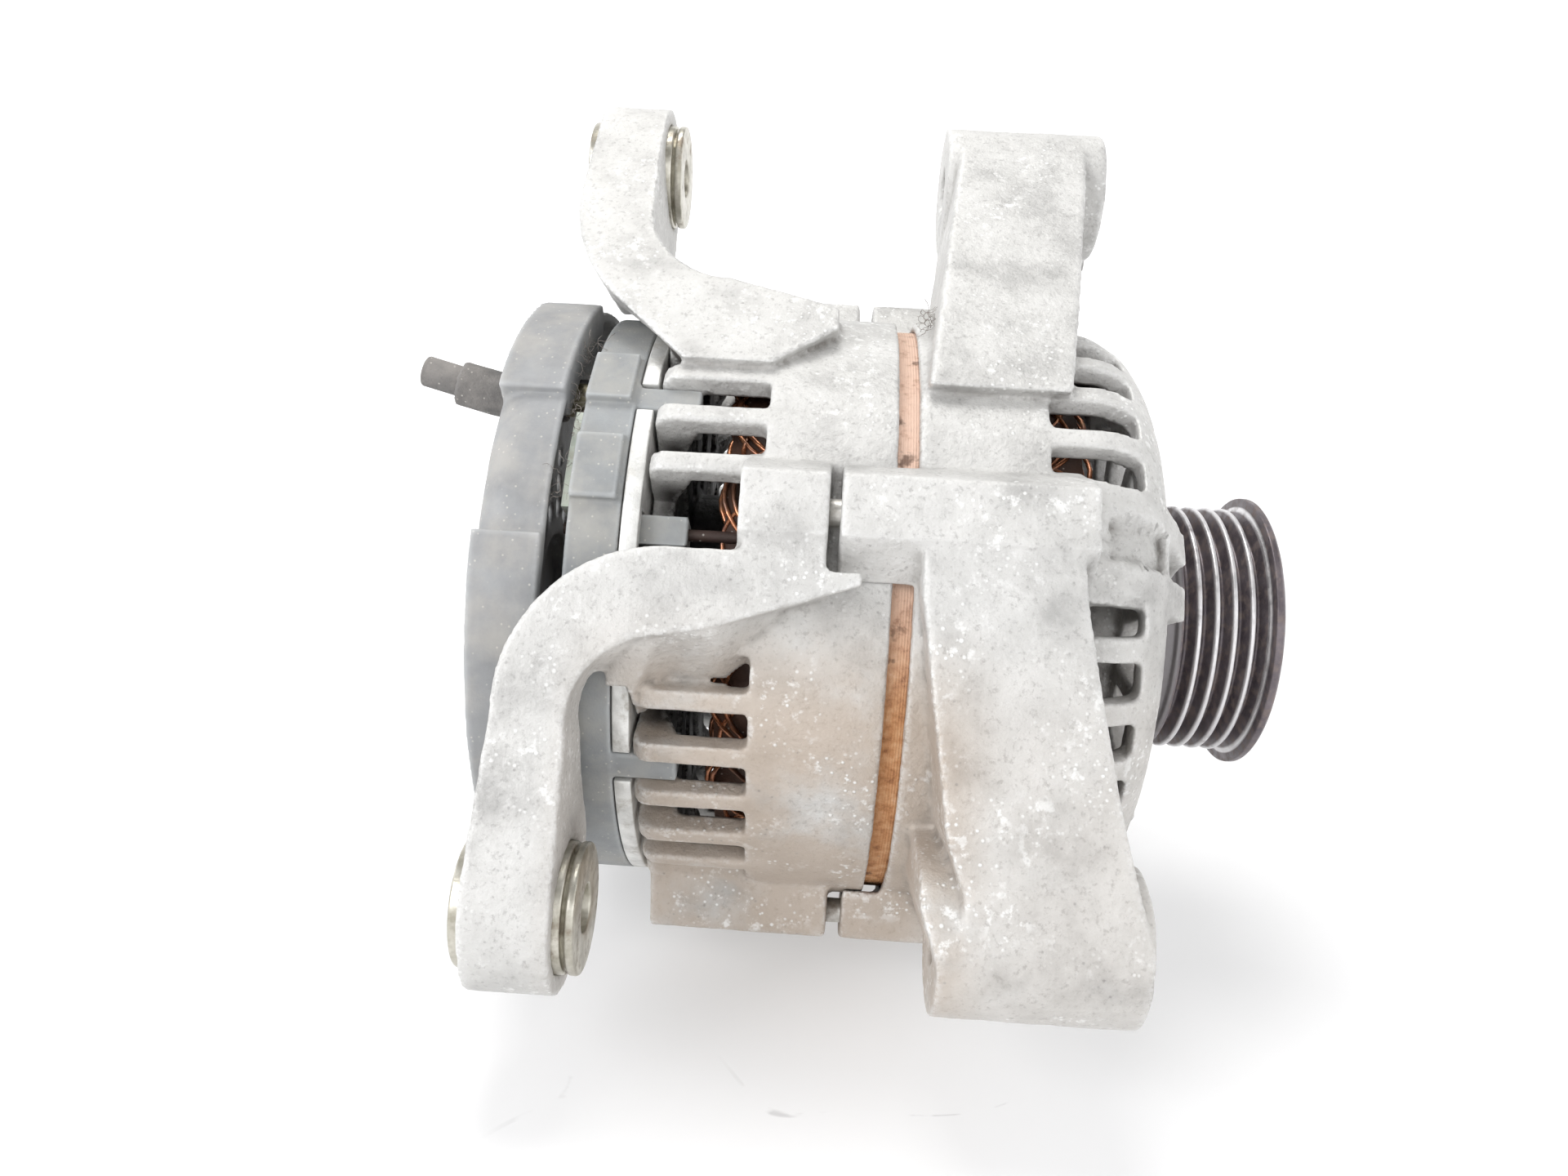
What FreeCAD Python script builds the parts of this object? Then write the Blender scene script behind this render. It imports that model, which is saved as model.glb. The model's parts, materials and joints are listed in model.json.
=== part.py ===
import FreeCAD, Part
import math
import os
import re
import Sketcher

# Car alternator with two clamped end brackets, four mounting ears and a five-groove belt pulley.
# The shaft axis is X, with the pulley at +X, and +Z is up. The origin lies on the shaft axis at
# the middle of the belt. Sketches measure x from the middle plane of the stator, and each sub-part
# is then placed stator_x along the axis. Angles about the axis run from +Y towards +Z.

SIZES = {
    "stator_x": -67.2,  # stator middle plane, from the belt's middle plane
    "body_radius": 62.3,
    "seat_radius": 60.5,  # where the brackets hold the stator stack
    "cavity_radius": 58.0,
    "stack_half": 14.0,
    "winding_half": 30.0,
    "front_joint": 1.6,  # the front bracket's rim
    "rear_joint": -2.0,  # the rear bracket's rim
    "gap_fit": 0.05,  # between pieces pushed together in one body
    "gap_run": 0.08,  # radial gap of a running or sliding fit
    # front bracket
    "shoulder_start": 33.0,
    "shoulder_radius": 16.0,
    "wall": 4.0,
    "hub_radius": 29.0,
    "hub_back": 37.0,
    "hub_front": 53.4,
    "bolt_circle": 66.0,
    "bolt_radius": 2.5,
    "boss_height": 71.4,  # outer radius of the through-bolt bosses
    "boss_end": 31.5,
    "head_back": 26.8,  # the through bolts' sunk heads
    "head_radius": 4.2,
    "head_depth": 4.2,
    "first_boss": 60.0,  # degrees
    "rib_spread": 7.5,  # degrees from a boss to the big rib beside it
    "front_pitch": 10.7143,  # degrees between front ribs
    "rib_thick": 4.4,
    "big_rib_thick": 6.6,
    "front_slot": 25.2,
    "front_ring": 42.0,
    # rear bracket
    "rear_tip": -46.5,
    "rear_slot": -25.8,
    "rear_ribs": 36.0,
    "rear_rib_thick": 4.0,
    "rear_wall_radius": 50.0,
    "rear_hub_radius": 23.0,
    "electronics_clear": 63.4,  # what the rear ears leave free for the cover
    # ears
    "ear_radius": 13.75,  # front ears
    "rear_ear_radius": 14.9,
    "upper_ear_y": 38.2,
    "upper_ear_z": 91.2,
    "lower_ear_y": -72.6,
    "lower_ear_z": -36.7,
    "front_ear_back": 8.2,
    "front_ear_front": 43.5,
    "front_bore": 5.2,
    "rear_ear_back": -70.5,
    "rear_ear_front": -55.5,
    "bush_back": -73.0,
    "bush_front": -51.9,
    "bush_radius": 11.4,
    "bush_bore": 4.25,  # the core of an M10 thread
    "web_slope": 30.0,  # degrees by which the lower rear arm's underside leans
    "flank_tilt": 17.5,  # degrees by which the ears' flat faces lean from upright
    # rotor
    "rotor_radius": 46.4,
    "rotor_half": 17.0,
    "pole_disc": 9.0,
    "pole_tip": -14.0,
    "shaft_body": 10.0,
    "shaft_front": 8.5,
    "shaft_rear": 7.5,
    "shaft_tail": 6.0,
    "fan_radius": 43.5,
    # bearings
    "front_bearing_x": 44.0,
    "front_outer": 23.5,
    "front_half": 7.0,
    "front_ball": 4.35,
    "front_pitch_radius": 16.0,
    "rear_bearing_x": -39.5,
    "rear_outer": 17.5,
    "rear_half": 5.5,
    "rear_ball": 3.0,
    "rear_pitch_radius": 12.5,
    # pulley
    "belt_pitch": 3.56,
    "crest_radius": 26.6,
    "groove_depth": 3.0,
    "flange_radius": 29.1,
    "pulley_front": 78.0,
    "pulley_back": 54.2,
    # rear electronics
    "sink_back": -50.3,
    "sink_front": -47.1,
    "block_back": -60.0,
    "block_radius": 60.0,
    "cover_front": -63.4,
    "cover_back": -76.4,
    "cover_radius": 61.2,
    "cover_wall": 2.0,
    "bulge_radius": 63.1,
    "front_ring_x": -56.0,  # the two slip rings
    "rear_ring_x": -65.0,
    "ring_radius": 8.5,
    "stud_y": -19.4,
    "stud_z": 44.9,
    "boot_radius": 4.4,
}

doc = FreeCAD.newDocument("alternator")
sheet = doc.addObject("Spreadsheet::Sheet", "Sizes")
for row, (alias, number) in enumerate(SIZES.items(), start=1):
    sheet.set(f"A{row}", alias)
    sheet.set(f"B{row}", str(number))
    sheet.setAlias(f"B{row}", alias)
doc.recompute()

NODES = []


def formula(text):
    """The expression with every alias looked up in the sheet."""
    return re.sub(r"[a-z_]+", lambda found: f"Sizes.{found[0]}" if found[0] in SIZES else found[0], str(text))


def value(text):
    return float(sheet.evalExpression(formula(text)))


def new_body(label, node=True):
    """A body that is placed with the stator's middle plane as its own x zero."""
    body = doc.addObject("PartDesign::Body", label)
    body.Label = label
    body.AllowCompound = True
    body.setExpression("Placement.Base.x", formula("stator_x"))
    if node:
        NODES.append(body)
    return body


def new_sketch(body, plane, offset="0", tilt="0"):
    """A sketch on one of the body's origin planes, moved along its normal and leaned about its x."""
    sketch = body.newObject("Sketcher::SketchObject", f"{body.Name}_sketch")
    support = next(item for item in body.Origin.OriginFeatures if item.Role == plane)
    sketch.AttachmentSupport = [(support, "")]
    sketch.MapMode = "FlatFace"
    lean = FreeCAD.Rotation(FreeCAD.Vector(1, 0, 0), value(tilt))
    height = lean.multVec(FreeCAD.Vector(0, 0, value(offset)))
    sketch.AttachmentOffset = FreeCAD.Placement(height, lean)
    if value(tilt) == 0:
        sketch.setExpression("AttachmentOffset.Base.z", formula(offset))
    return sketch


def bind_point(sketch, index, end, across, up):
    """Ties a sketch point's two coordinates to the sheet."""
    for kind, text in (("DistanceX", across), ("DistanceY", up)):
        number = sketch.addConstraint(Sketcher.Constraint(kind, -1, 1, index, end, value(text)))
        sketch.setExpression(f"Constraints[{number}]", formula(text))


def bind_radius(sketch, index, text):
    number = sketch.addConstraint(Sketcher.Constraint("Radius", index, value(text)))
    sketch.setExpression(f"Constraints[{number}]", formula(text))


def arc_between(start, end, radius, ccw):
    """The shorter arc of a radius from start to end, as a counter-clockwise circle arc."""
    chord = end - start
    rise = math.sqrt(max(radius**2 - chord.Length**2 / 4, 0.0))
    side = FreeCAD.Vector(-chord.y, chord.x, 0).normalize() * (rise if ccw else -rise)
    centre = (start + end) / 2 + side
    first, last = (start, end) if ccw else (end, start)
    angles = [math.atan2(point.y - centre.y, point.x - centre.x) for point in (first, last)]
    if angles[1] <= angles[0]:
        angles[1] += 2 * math.pi
    return Part.ArcOfCircle(Part.Circle(centre, FreeCAD.Vector(0, 0, 1), radius), *angles)


def draw_outline(sketch, points):
    """A closed outline. A point may add a radius and "left" or "right" for an arc that ends at it."""
    places = [FreeCAD.Vector(value(point[0]), value(point[1]), 0) for point in points]
    ends = []
    for number, point in enumerate(points):
        start, end = places[number - 1], places[number]
        if len(point) == 4:
            ccw = point[3] == "left"
            index = sketch.addGeometry(arc_between(start, end, value(point[2]), ccw), False)
            ends.append((index, 1, 2) if ccw else (index, 2, 1))
        else:
            index = sketch.addGeometry(Part.LineSegment(start, end), False)
            ends.append((index, 1, 2))
    for number, (index, start_end, last_end) in enumerate(ends):
        following = ends[(number + 1) % len(ends)]
        sketch.addConstraint(Sketcher.Constraint("Coincident", index, last_end, following[0], following[1]))
        bind_point(sketch, index, last_end, points[number][0], points[number][1])
        if len(points[number]) == 4:
            bind_radius(sketch, index, points[number][2])


def draw_circle(sketch, across, up, radius):
    centre = FreeCAD.Vector(value(across), value(up), 0)
    index = sketch.addGeometry(Part.Circle(centre, FreeCAD.Vector(0, 0, 1), value(radius)), False)
    bind_point(sketch, index, 3, across, up)
    bind_radius(sketch, index, radius)


def draw_link(sketch, big, small):
    """The outline round two circles, each (across, up, radius): two arcs joined by tangent lines."""
    centres = [FreeCAD.Vector(value(circle[0]), value(circle[1]), 0) for circle in (big, small)]
    radii = [value(circle[2]) for circle in (big, small)]
    span = centres[1] - centres[0]
    heading = math.atan2(span.y, span.x)
    opening = math.acos((radii[0] - radii[1]) / span.Length)

    def rim(which, angle):
        return centres[which] + FreeCAD.Vector(math.cos(angle), math.sin(angle), 0) * radii[which]

    arcs = []
    sweeps = ((heading + opening, heading - opening + 2 * math.pi), (heading - opening, heading + opening))
    for which, circle in enumerate((big, small)):
        ring = Part.Circle(centres[which], FreeCAD.Vector(0, 0, 1), radii[which])
        arcs.append(sketch.addGeometry(Part.ArcOfCircle(ring, *sweeps[which]), False))
        bind_point(sketch, arcs[which], 3, circle[0], circle[1])
        bind_radius(sketch, arcs[which], circle[2])
    for angle, big_end, small_end in ((heading + opening, 1, 2), (heading - opening, 2, 1)):
        line = sketch.addGeometry(Part.LineSegment(rim(0, angle), rim(1, angle)), False)
        sketch.addConstraint(Sketcher.Constraint("Tangent", line, 1, arcs[0], big_end))
        sketch.addConstraint(Sketcher.Constraint("Tangent", line, 2, arcs[1], small_end))


def extrude(body, sketch, length, cut=False):
    """Pads, or pockets, a sketch along its normal."""
    kind = "PartDesign::Pocket" if cut else "PartDesign::Pad"
    feature = body.newObject(kind, f"{body.Name}_{'pocket' if cut else 'pad'}")
    feature.Profile = sketch
    feature.setExpression("Length", formula(length))
    feature.Reversed = cut
    body.Tip = feature
    return feature


def revolve(body, points, cut=False):
    """Turns an outline of (x, radius) points about the shaft axis, to add or to cut."""
    sketch = new_sketch(body, "XY_Plane")
    draw_outline(sketch, points)
    kind = "PartDesign::Groove" if cut else "PartDesign::Revolution"
    feature = body.newObject(kind, f"{body.Name}_{'groove' if cut else 'turn'}")
    feature.Profile = sketch
    feature.ReferenceAxis = (sketch, ["H_Axis"])
    feature.Angle = 360
    body.Tip = feature
    return feature


def repeat(body, feature, count):
    """Repeats a feature evenly round the shaft axis."""
    pattern = body.newObject("PartDesign::PolarPattern", f"{body.Name}_pattern")
    pattern.Originals = [feature]
    axis = next(item for item in body.Origin.OriginFeatures if item.Role == "X_Axis")
    pattern.Axis = (axis, [""])
    pattern.Angle = 360
    pattern.setExpression("Occurrences", formula(count))
    body.Tip = pattern
    return pattern


def turned(radial, sideways, angle):
    """The sketch coordinates of a place given along and across a radius at an angle."""
    across = f"({radial}) * cos({angle}) - ({sideways}) * sin({angle})"
    up = f"({radial}) * sin({angle}) + ({sideways}) * cos({angle})"
    return across, up


def block_outline(inner, outer, inner_half, outer_half, angle):
    """A four-sided outline across a radius, which may widen outwards."""
    return [
        turned(inner, f"-({inner_half})", angle),
        turned(outer, f"-({outer_half})", angle),
        turned(outer, outer_half, angle),
        turned(inner, inner_half, angle),
    ]


def ring_outline(back, front, inner, outer):
    return [(back, inner), (front, inner), (front, outer), (back, outer)]


def ring(label, back, front, inner, outer):
    body = new_body(label)
    revolve(body, ring_outline(back, front, inner, outer))
    return body


def joined(kind, label, shapes, node=False):
    """A Part boolean of several objects: a fusion or a common solid."""
    result = doc.addObject(kind, label)
    result.Label = label
    result.Shapes = shapes
    if node:
        NODES.append(result)
    return result


def cut_away(label, base, tool):
    result = doc.addObject("Part::Cut", label)
    result.Label = label
    result.Base = base
    result.Tool = tool
    result.Refine = True
    NODES.append(result)
    return result


UPPER_EAR = ("upper_ear_y", "upper_ear_z")
LOWER_EAR = ("lower_ear_y", "lower_ear_z")
UPPER_ROOTS = ((-28.5, 41.4, 15), (30.9, 36.8, 12), (-28.5, 41.4, 13.4))
LOWER_ROOTS = ((-57.2, 30.4, 6.5), (-33.4, -39.8, 12))


def ear_arm(label, ear, root, back, front, plan, radius="ear_radius"):
    """An arm from an ear to a root inside the body: a link seen along the shaft, trimmed to a plan.

    The plan is drawn on the arms' flat flank, as (x, height along the flank).
    """
    body = new_body(label, node=False)
    sketch = new_sketch(body, "YZ_Plane", back)
    draw_link(sketch, (*ear, radius), root)
    extrude(body, sketch, f"({front}) - ({back})")
    trim = new_body(f"{label}_plan", node=False)
    sketch = new_sketch(trim, "XZ_Plane", "-60", "-flank_tilt")
    draw_outline(sketch, plan)
    extrude(trim, sketch, "150")
    return joined("Part::MultiCommon", f"{label}_arm", [body, trim])


def ear_barrel(label, ear, back, front, radius="ear_radius"):
    body = new_body(label, node=False)
    sketch = new_sketch(body, "YZ_Plane", back)
    draw_circle(sketch, *ear, radius)
    extrude(body, sketch, f"({front}) - ({back})")
    return body


def bosses(label, angles, back, front):
    """Through-bolt bosses that widen towards the body, from x back to x front."""
    body = new_body(label, node=False)
    for angle in angles:
        sketch = new_sketch(body, "YZ_Plane", back)
        draw_outline(sketch, block_outline("56", "boss_height", "14", "5.5", angle))
        extrude(body, sketch, f"({front}) - ({back})")
    return body


def boss_angle(number):
    return f"(first_boss + {90 * number})"


NEAR_BOSS = boss_angle(1)
OTHER_BOSSES = [boss_angle(0), boss_angle(2), boss_angle(3)]


def bolt_holes(label, back, front, radius):
    body = new_body(label, node=False)
    sketch = new_sketch(body, "YZ_Plane", back)
    draw_circle(sketch, *turned("bolt_circle", "0", "first_boss"), radius)
    repeat(body, extrude(body, sketch, f"({front}) - ({back})"), "4")
    return body


def front_bracket():
    shell = new_body("front_shell", node=False)
    front_face = "shoulder_start + shoulder_radius"
    revolve(shell, [
        ("front_joint", "20"),
        ("hub_front", "20"),
        ("hub_front", "hub_radius - 2"),
        (f"{front_face}", "hub_radius"),
        (f"{front_face}", "body_radius - shoulder_radius"),
        ("shoulder_start", "body_radius", "shoulder_radius", "left"),
        ("front_joint", "body_radius"),
    ])
    sketch = new_sketch(shell, "YZ_Plane", "front_slot")
    half_step = "sin(front_pitch / 2)"
    for step in range(7):
        angle = f"(first_boss + rib_spread + front_pitch * {step + 0.5})"
        halves = [f"(({radius}) * {half_step} - rib_thick / 2)" for radius in ("45", "66")]
        draw_outline(sketch, block_outline("45", "66", *halves, angle))
    repeat(shell, extrude(shell, sketch, "front_ring - front_slot", cut=True), "4")
    sketch = new_sketch(shell, "YZ_Plane", "40")
    for step in range(3):
        angle = f"(first_boss + 21 + {24 * step})"
        draw_outline(sketch, block_outline("hub_radius + 1.5", "42.5", "4.2", "6.8", angle))
    repeat(shell, extrude(shell, sketch, "12", cut=True), "4")
    big_ribs = new_body("front_big_ribs", node=False)
    big_rib = value("big_rib_thick")
    for side in ("-", "+"):
        sketch = new_sketch(big_ribs, "XY_Plane")
        draw_outline(sketch, [
            ("30", "50"),
            ("46", "24"),
            ("hub_front - 0.6", "24"),
            ("hub_front", "40"),
            ("hub_front - 0.8", "43", "2", "left"),
            ("31", "body_radius - 0.3", "30", "left"),
        ])
        sketch.AttachmentOffset = FreeCAD.Placement(FreeCAD.Vector(0, 0, -big_rib / 2), FreeCAD.Rotation())
        rib = extrude(big_ribs, sketch, "big_rib_thick")
        turn = FreeCAD.Rotation(FreeCAD.Vector(1, 0, 0), value(f"first_boss {side} rib_spread"))
        sketch.AttachmentOffset = FreeCAD.Placement(turn.multVec(FreeCAD.Vector(0, 0, -big_rib / 2)), turn)
        repeat(big_ribs, rib, "4")
    upper = ear_arm("front_upper", UPPER_EAR, UPPER_ROOTS[0], "0", "front_ear_front", [
        ("3", "40"),
        ("29.2", "40"),
        ("32", "56"),
        ("38.2", "98"),
        ("38.6", "114"),
        ("12.2", "114"),
    ])
    upper_web = ear_arm("front_upper_web", UPPER_EAR, UPPER_ROOTS[1], "14", "32", [
        ("14", "20"),
        ("32", "20"),
        ("32", "114"),
        ("14", "114"),
    ])
    lower = ear_arm("front_lower", LOWER_EAR, LOWER_ROOTS[0], "0", "front_ear_front", [
        ("front_ear_front", "-71"),
        ("front_ear_front", "-56"),
        ("36.8", "-32"),
        ("30", "0"),
        ("27.8", "22"),
        ("2", "22"),
        ("2.4", "2"),
        ("8.4", "-38"),
        ("12", "-48"),
        ("12", "-71"),
    ])
    lower_web = ear_arm("front_lower_web", LOWER_EAR, LOWER_ROOTS[1], "5", "36", [
        ("36", "-71"),
        ("36", "-10"),
        ("5", "-10"),
        ("5", "-50"),
        ("12", "-71"),
    ])
    blank = joined("Part::MultiFuse", "front_blank", [
        shell,
        big_ribs,
        upper,
        upper_web,
        lower,
        lower_web,
        ear_barrel("front_upper_barrel", UPPER_EAR, "front_ear_back", "front_ear_front"),
        ear_barrel("front_lower_barrel", LOWER_EAR, "front_ear_back", "front_ear_front"),
        bosses("front_near_boss", [NEAR_BOSS], "-11.8", "boss_end"),
        bosses("front_bosses", OTHER_BOSSES, "-6.3", "boss_end"),
    ])

    inside = new_body("front_inside", node=False)
    inner_turn = "(shoulder_radius - wall)"
    revolve(inside, [
        ("-20", "0"),
        ("70", "0"),
        ("70", "18.5"),
        ("front_bearing_x + front_half", "18.5"),
        ("front_bearing_x + front_half", "front_outer"),
        ("hub_back", "front_outer"),
        ("hub_back", "hub_radius"),
        ("shoulder_start + shoulder_radius - wall", "hub_radius"),
        ("shoulder_start + shoulder_radius - wall", "body_radius - shoulder_radius"),
        ("shoulder_start", f"body_radius - shoulder_radius + {inner_turn}", inner_turn, "left"),
        ("stack_half", "cavity_radius"),
        ("stack_half", "seat_radius"),
        ("front_joint", "seat_radius"),
        ("front_joint", "body_radius + 0.3"),
        ("-20", "body_radius + 0.3"),
    ])
    bores = new_body("front_ear_bores", node=False)
    sketch = new_sketch(bores, "YZ_Plane", "-20")
    draw_circle(sketch, *UPPER_EAR, "front_bore")
    draw_circle(sketch, *LOWER_EAR, "front_bore")
    extrude(bores, sketch, "90")
    holes = joined("Part::MultiFuse", "front_removed", [
        inside,
        bores,
        bolt_holes("front_bolt_holes", "-20", "50", "bolt_radius + gap_run"),
        bolt_holes("front_bolt_seats", "head_back", "50", "head_radius + 0.2"),
        retainer_holes("front_retainer_holes", "1.6"),
    ])
    cut_away("drive_end_bracket", blank, holes)


def retainer_holes(label, radius):
    body = new_body(label, node=False)
    sketch = new_sketch(body, "YZ_Plane", "hub_back - 4")
    draw_circle(sketch, *turned("26.2", "0", "15"), radius)
    repeat(body, extrude(body, sketch, "12"), "3")
    return body


def rear_bracket():
    shell = new_body("rear_shell", node=False)
    revolve(shell, [
        ("rear_tip", "rear_outer"),
        ("rear_joint", "rear_outer"),
        ("rear_joint", "body_radius"),
        ("rear_tip + 3", "body_radius"),
        ("rear_tip", "body_radius - 3", "3", "left"),
    ])
    sketch = new_sketch(shell, "YZ_Plane", "-60")
    halves = [f"(({radius}) * sin(5) - rear_rib_thick / 2)" for radius in ("rear_wall_radius", "body_radius + 2")]
    draw_outline(sketch, block_outline("rear_wall_radius", "body_radius + 2", *halves, "6"))
    repeat(shell, extrude(shell, sketch, "60 + rear_slot", cut=True), "rear_ribs")
    sketch = new_sketch(shell, "YZ_Plane", "-60")
    draw_outline(sketch, block_outline("rear_hub_radius + 1.5", "rear_wall_radius - 4", "3", "6.6", "15"))
    repeat(shell, extrude(shell, sketch, "22", cut=True), "12")
    upper = ear_arm("rear_upper", UPPER_EAR, UPPER_ROOTS[2], "-72", "-12", [
        ("rear_ear_back", "116"),
        ("rear_ear_back", "86"),
        ("rear_ear_back + 11.7", "57.7", "40", "left"),
        ("-43", "43.5"),
        ("-26", "43.5"),
        ("-14", "52"),
        ("-14", "57"),
        ("-36", "63"),
        ("-54", "80", "18", "right"),
        ("rear_ear_front", "100"),
        ("rear_ear_front", "116"),
    ], "rear_ear_radius")
    lower = ear_arm("rear_lower", LOWER_EAR, LOWER_ROOTS[0], "-72", "-7.6", [
        ("-7.6", "30"),
        ("-28", "30"),
        ("-28", "6.7"),
        ("-40", "6.7"),
        ("-68", "-22.5", "28", "left"),
        ("rear_ear_back", "-50"),
        ("rear_ear_back", "-73"),
        ("rear_ear_front", "-73"),
        ("-55", "-44"),
        ("-55", "-26"),
        ("-41", "-8.4", "15", "right"),
        ("-30", "-5.8"),
        ("-7.6", "2"),
    ], "rear_ear_radius")
    web = new_body("rear_lower_web", node=False)
    sketch = new_sketch(web, "XZ_Plane", "50", "-flank_tilt")
    draw_outline(sketch, [
        ("-62", "-31"),
        ("-52", "-31"),
        ("-47", "-24"),
        ("-40", "-19.5"),
        ("-28", "-19"),
        ("-10", "-4"),
        ("-10", "12"),
        ("-62", "12"),
    ])
    slope = extrude(web, sketch, "19.8")
    slope.setExpression("TaperAngle", formula("-web_slope"))
    blank = joined("Part::MultiFuse", "rear_blank", [
        shell,
        upper,
        lower,
        web,
        ear_barrel("rear_upper_barrel", UPPER_EAR, "rear_ear_back", "rear_ear_front", "rear_ear_radius"),
        ear_barrel("rear_lower_barrel", LOWER_EAR, "rear_ear_back", "rear_ear_front", "rear_ear_radius"),
        bosses("rear_near_boss", [NEAR_BOSS], "-29", "-13.8"),
        bosses("rear_bosses", [boss_angle(0), boss_angle(3)], "-29", "-9.2"),
        bosses("rear_foot_boss", [boss_angle(2)], "rear_tip + 1", "-9.2"),
    ])

    inside = new_body("rear_inside", node=False)
    revolve(inside, [
        ("10", "0"),
        ("10", "seat_radius"),
        ("-stack_half", "seat_radius"),
        ("-stack_half", "cavity_radius"),
        ("rear_tip + 2 * wall", "cavity_radius"),
        ("rear_tip + wall", "rear_wall_radius - 1"),
        ("rear_tip + wall", "rear_hub_radius"),
        ("rear_bearing_x + rear_half", "rear_hub_radius"),
        ("rear_bearing_x + rear_half", "rear_outer + 1.2"),
        ("rear_bearing_x - rear_half", "rear_outer + 1.2"),
        ("rear_bearing_x - rear_half", "rear_outer - 2"),
        ("-80", "rear_outer - 2"),
        ("-80", "0"),
    ])
    behind = new_body("rear_behind", node=False)
    revolve(behind, [
        ("-100", "0"),
        ("rear_tip - 0.1", "0"),
        ("rear_tip - 0.1", "electronics_clear"),
        ("-100", "electronics_clear"),
    ])
    open_bays = new_body("rear_open_bays", node=False)
    sketch = new_sketch(open_bays, "YZ_Plane", "-60")
    draw_outline(sketch, block_outline("rear_wall_radius", "body_radius + 2", "5", "6", NEAR_BOSS))
    extrude(open_bays, sketch, "60 - 29")
    boss_gap = new_body("rear_boss_gap", node=False)
    sketch = new_sketch(boss_gap, "YZ_Plane", "-13.8")
    draw_outline(sketch, block_outline("body_radius - 0.9", "boss_height + 6", "15", "7", NEAR_BOSS))
    extrude(boss_gap, sketch, "13.8")
    bores = new_body("rear_ear_bores", node=False)
    sketch = new_sketch(bores, "YZ_Plane", "-90")
    draw_circle(sketch, *UPPER_EAR, "bush_radius + gap_run")
    draw_circle(sketch, *LOWER_EAR, "bush_radius + gap_run")
    extrude(bores, sketch, "60")
    holes = joined("Part::MultiFuse", "rear_removed", [
        inside,
        behind,
        open_bays,
        boss_gap,
        bores,
        bolt_holes("rear_bolt_holes", "-28", "0", "bolt_radius + gap_run"),
    ])
    cut_away("slip_ring_end_bracket", blank, holes)


def rod_set(label, angle, radial, count, pieces):
    """A set of equal turned pieces parallel to the shaft: each (back, front, radius) is one step."""
    body = new_body(label)
    for back, front, radius in pieces:
        sketch = new_sketch(body, "YZ_Plane", back)
        draw_circle(sketch, *turned(radial, "0", angle), radius)
        repeat(body, extrude(body, sketch, f"({front}) - ({back})"), count)
    return body


def hexagon(across, up, across_flats, turn="0"):
    """A hexagon's corners about a place."""
    corner = f"({across_flats}) / sqrt(3)"
    angles = [f"({turn} + {60 * step})" for step in range(6)]
    return [(f"({across}) + {corner} * cos{a}", f"({up}) + {corner} * sin{a}") for a in angles]


def hexagon_nut(label, across, up, back, front, across_flats, bore):
    body = new_body(label)
    sketch = new_sketch(body, "YZ_Plane", back)
    draw_outline(sketch, hexagon(across, up, across_flats))
    draw_circle(sketch, across, up, bore)
    extrude(body, sketch, f"({front}) - ({back})")
    return body


def box_body(label, low, high, node=True):
    """A box between two corners, each (x, y, z)."""
    body = new_body(label, node)
    sketch = new_sketch(body, "YZ_Plane", low[0])
    draw_outline(sketch, [(low[1], low[2]), (high[1], low[2]), (high[1], high[2]), (low[1], high[2])])
    extrude(body, sketch, f"({high[0]}) - ({low[0]})")
    return body


def stator():
    core = ring("stator_core", "-stack_half + gap_fit", "stack_half - gap_fit", "rotor_radius + 0.5",
                "seat_radius - gap_fit")
    sketch = new_sketch(core, "YZ_Plane", "-20")
    draw_outline(sketch, block_outline("48.4", "56.4", "1.9", "2.6", "0"))
    repeat(core, extrude(core, sketch, "40", cut=True), "36")
    sketch = new_sketch(core, "YZ_Plane", "-20")
    draw_outline(sketch, block_outline("45", "49", "1.1", "1.1", "0"))
    repeat(core, extrude(core, sketch, "40", cut=True), "36")
    winding = new_body("stator_winding")
    for back, front in (("-winding_half", "-stack_half - 1"), ("stack_half + 1", "winding_half")):
        revolve(winding, [
            (back, "49.5"),
            (front, "49.5"),
            (front, "55.8"),
            (back, "55.8"),
        ])
    sketch = new_sketch(winding, "YZ_Plane", "-stack_half - 4")
    draw_outline(sketch, block_outline("49.6", "55.7", "1.7", "2.2", "0"))
    repeat(winding, extrude(winding, sketch, "stack_half * 2 + 8"), "36")


def claw_pole(label, side_turn, tooth_turn):
    """A pole disc with six tapered teeth reaching over the coil, turned end for end by side_turn."""
    pole = new_body(label)
    revolve(pole, ring_outline("0.05", "rotor_half", "shaft_body + gap_fit", "33"))
    sketch = new_sketch(pole, "XY_Plane", "20")
    draw_outline(sketch, [
        ("pole_tip", "-5.2"),
        ("pole_disc", "-12"),
        ("rotor_half", "-12"),
        ("rotor_half", "12"),
        ("pole_disc", "12"),
        ("pole_tip", "5.2"),
    ])
    repeat(pole, extrude(pole, sketch, "40"), "6")
    revolve(pole, ring_outline("-30", "30", "rotor_radius", "70"), cut=True)
    revolve(pole, [
        ("-30", "17"),
        ("pole_disc", "17"),
        ("pole_disc", "36"),
        ("pole_tip", "42.6"),
        ("-30", "42.6"),
    ], cut=True)
    turn = FreeCAD.Rotation(FreeCAD.Vector(1, 0, 0), tooth_turn)
    turn = turn.multiply(FreeCAD.Rotation(FreeCAD.Vector(0, 0, 1), side_turn))
    pole.Placement = FreeCAD.Placement(pole.Placement.Base, turn)


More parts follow.
